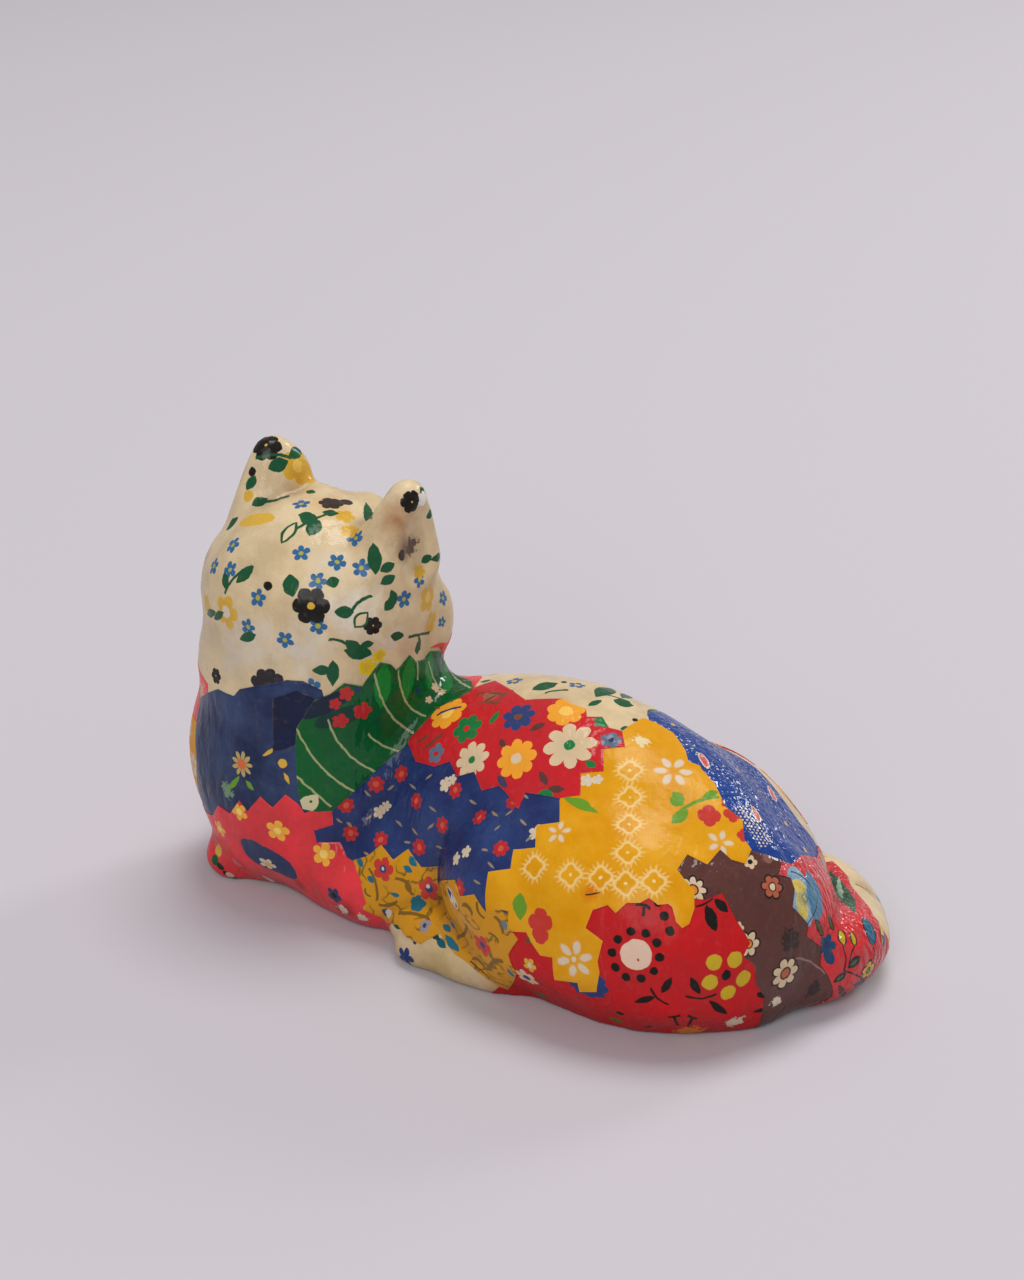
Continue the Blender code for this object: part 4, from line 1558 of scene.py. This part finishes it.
SCRAPS = (
    ("royal_back", 0, ROYAL_CLOTH, ROYAL_OUTLINE, ROYAL_MOTIFS),
    ("haunch_blood", 0, CRIMSON_CLOTH, BLOOD_OUTLINE, BLOOD_MOTIFS),
    ("crimson_foot", 1, CRIMSON_CLOTH, CRIMSON_OUTLINE, CRIMSON_MOTIFS),
    ("brown_haunch", 1, BROWN_CLOTH, BROWN_OUTLINE, BROWN_MOTIFS),
    ("chest_pink", 0, CORAL_CLOTH, CHEST_PINK_OUTLINE, None),
    ("chest_yellow", 0.5, YELLOW_CLOTH, CHEST_YELLOW_OUTLINE, None),
    ("nape_pink", 1, CORAL_CLOTH, NAPE_PINK_OUTLINE, None),
    ("navy_shoulder", 1, NAVY_CLOTH, NAVY_OUTLINE, NAVY_MOTIFS),
    ("navy_dark", 2, DARK_CLOTH, DARK_SCRAP_OUTLINE, []),
    ("indigo_flank", 2, INDIGO_CLOTH, INDIGO_OUTLINE, INDIGO_MOTIFS),
    ("coral_arm", 3, CORAL_CLOTH, CORAL_OUTLINE, CORAL_MOTIFS),
    ("yellow_haunch", 3, YELLOW_CLOTH, YELLOW_OUTLINE, YELLOW_MOTIFS),
    ("raspberry_rump", 3, RASPBERRY_CLOTH, RUMP_OUTLINE, RUMP_MOTIFS),
    ("daisy_back", 4, SCARLET_CLOTH, DAISY_OUTLINE, DAISY_MOTIFS),
    ("ochre_knee_front", 4, OCHRE_CLOTH, KNEE_FRONT_OUTLINE, KNEE_FRONT_MOTIFS),
    ("ochre_knee", 5, OCHRE_CLOTH, KNEE_OUTLINE, KNEE_MOTIFS),
    ("green_collar", 5, KELLY_CLOTH, COLLAR_OUTLINE, COLLAR_MOTIFS),
)


def finish_piece(obj, material):
    obj.data.materials.append(material)
    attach(obj, BODY)


def strewn(points, spacing, seed, count):
    """Small flowers and leaves of the calico where the camera doesn't look."""
    rng = random.Random(seed)
    spots = []
    for _ in range(STREWN_TRIES):
        spot = points[rng.randrange(len(points))] / MM
        clear = all(np.linalg.norm(spot - np.array(place)) > FEATURE_ROOM for place in FEATURES)
        if clear and all(np.linalg.norm(spot - other) > spacing for other in spots):
            spots.append(spot)
    drawn = []
    for spot in spots[:count]:
        turn = rng.uniform(0, 360)
        if rng.random() < 0.5:
            drawn.append(motif("blossom", [tuple(spot)], SKY, LEMON, turn,
                               Radius=rng.uniform(*STREWN_RADII), Petals=5, Notch=0.6, Core=0.28))
        else:
            a = math.radians(turn)
            course = np.array((math.cos(a), STREWN_SLOPE * math.sin(a), math.sin(a)))
            tip = spot + course * STREWN_LEAF
            drawn.append(far_leaf(tuple(spot), tuple(tip), 1.2, LEAF, STREWN_RIM))
    return drawn


def lay(skin, name, layer, fabric, outline, motifs=None, seed=0):
    """Cuts and prints a scrap, with its own motifs or else with strewn ones."""
    obj, chart, edge = cut_cloth(name, skin, outline, layer)
    if motifs is None:
        motifs = filler(chart, edge, fabric["flowers"], seed)
    placings = [(m["kind"], *placed(skin, m)) for m in motifs]
    finish_piece(obj, cloth_material(name, fabric, placings))


def lay_calico(skin):
    """The cream calico, which covers the whole skin and shows between the scraps."""
    bases = base_pieces(skin)
    body = bases[0].points
    head = np.concatenate([base.points for base in bases[1:]])
    front = head[(head - HEAD_CENTRE) @ np.array(BACK) < -UNSEEN_DEPTH]
    tail = body[(body[:, 1] > TAIL_PRINT_FROM) & (body[:, 2] > GROUND_CLEAR)]
    motifs = (HEAD_BACK_MOTIFS + FACE_MOTIFS + TOP_MOTIFS + FOOT_MOTIFS
              + strewn(front, FACE_SPACING, FACE_SEED, FACE_COUNT)
              + strewn(tail, TAIL_SPACING, TAIL_SEED, TAIL_COUNT))
    placings = [(m["kind"], *placed(skin, m)) for m in motifs]
    for base in bases:
        carried = [placing for placing in placings if base.carries(placing[1], placing[3])]
        finish_piece(base.obj, cloth_material(base.name, CREAM_CLOTH, carried, on_chart=False))
    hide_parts(NODE)


def dress(skin):
    """Lays the calico and every scrap."""
    lay_calico(skin)
    for name, layer, fabric, outline, motifs in SCRAPS:
        lay(skin, name, layer, fabric, outline, motifs, len(outline))
    for index, (name, (fabric, corners)) in enumerate(HIDDEN_SCRAPS.items()):
        outline = [item for corner in corners for item in (corner, PINKED)]
        lay(skin, name, 1 + index % HIDDEN_LAYERS, fabric, outline, seed=index)


# Floor and light

FLOOR_REACH = 12.0
FLOOR_DROP = 0.0002
FLOOR_COLOUR = (197, 193, 199)
WORLD_COLOUR = (0.86, 0.83, 0.88, 1)
WORLD_STRENGTH = 0.38
LAMPS = (
    ("window", (1.45, 0.9, -1.35), 0.55, 11, (1.0, 0.99, 0.98)),
    ("ceiling", (0.25, 2.1, -0.5), 1.1, 25, (1.0, 0.985, 0.97)),
    ("room", (-0.5, 1.7, 2.4), 2.0, 41, (1.0, 0.985, 0.97)),
)


def make_floor():
    mesh = bpy.data.meshes.new("floor")
    r = FLOOR_REACH
    mesh.from_pydata([(-r, -r, 0), (r, -r, 0), (r, r, 0), (-r, r, 0)], [], [(0, 1, 2, 3)])
    floor = linked("floor", mesh)
    floor.location.z = -FLOOR_DROP
    material = bpy.data.materials.new("floor")
    material.use_nodes = True
    Graph(material.node_tree).feed(material.node_tree.nodes["Principled BSDF"], {
        "Base Color": paint(FLOOR_COLOUR), "Roughness": 0.75, "Specular IOR Level": 0.2})
    mesh.materials.append(material)


def area_light(name, offset, size, power, colour):
    """A soft light that looks at the cat; offset is along right, up and towards the eye."""
    data = bpy.data.lights.new(name, "AREA")
    data.shape, data.size, data.energy, data.color = "DISK", size, power, colour
    light = linked(name, data)
    level = Vector((BACK.x, BACK.y, 0)).normalized()
    place = TARGET + RIGHT * offset[0] + Vector((0, 0, offset[1])) + level * offset[2]
    light.matrix_world = Matrix.Translation(place) @ (
        (place - TARGET).to_track_quat("Z", "Y").to_matrix().to_4x4())


def make_light():
    world = bpy.data.worlds.new("studio")
    world.use_nodes = True
    Graph(world.node_tree).feed(world.node_tree.nodes["Background"], {
        "Color": WORLD_COLOUR, "Strength": WORLD_STRENGTH})
    bpy.context.scene.world = world
    for lamp in LAMPS:
        area_light(*lamp)
    bpy.context.scene.view_settings.view_transform = "Standard"


dress(Skin(skin_mesh()))
make_floor()
make_light()
make_camera()
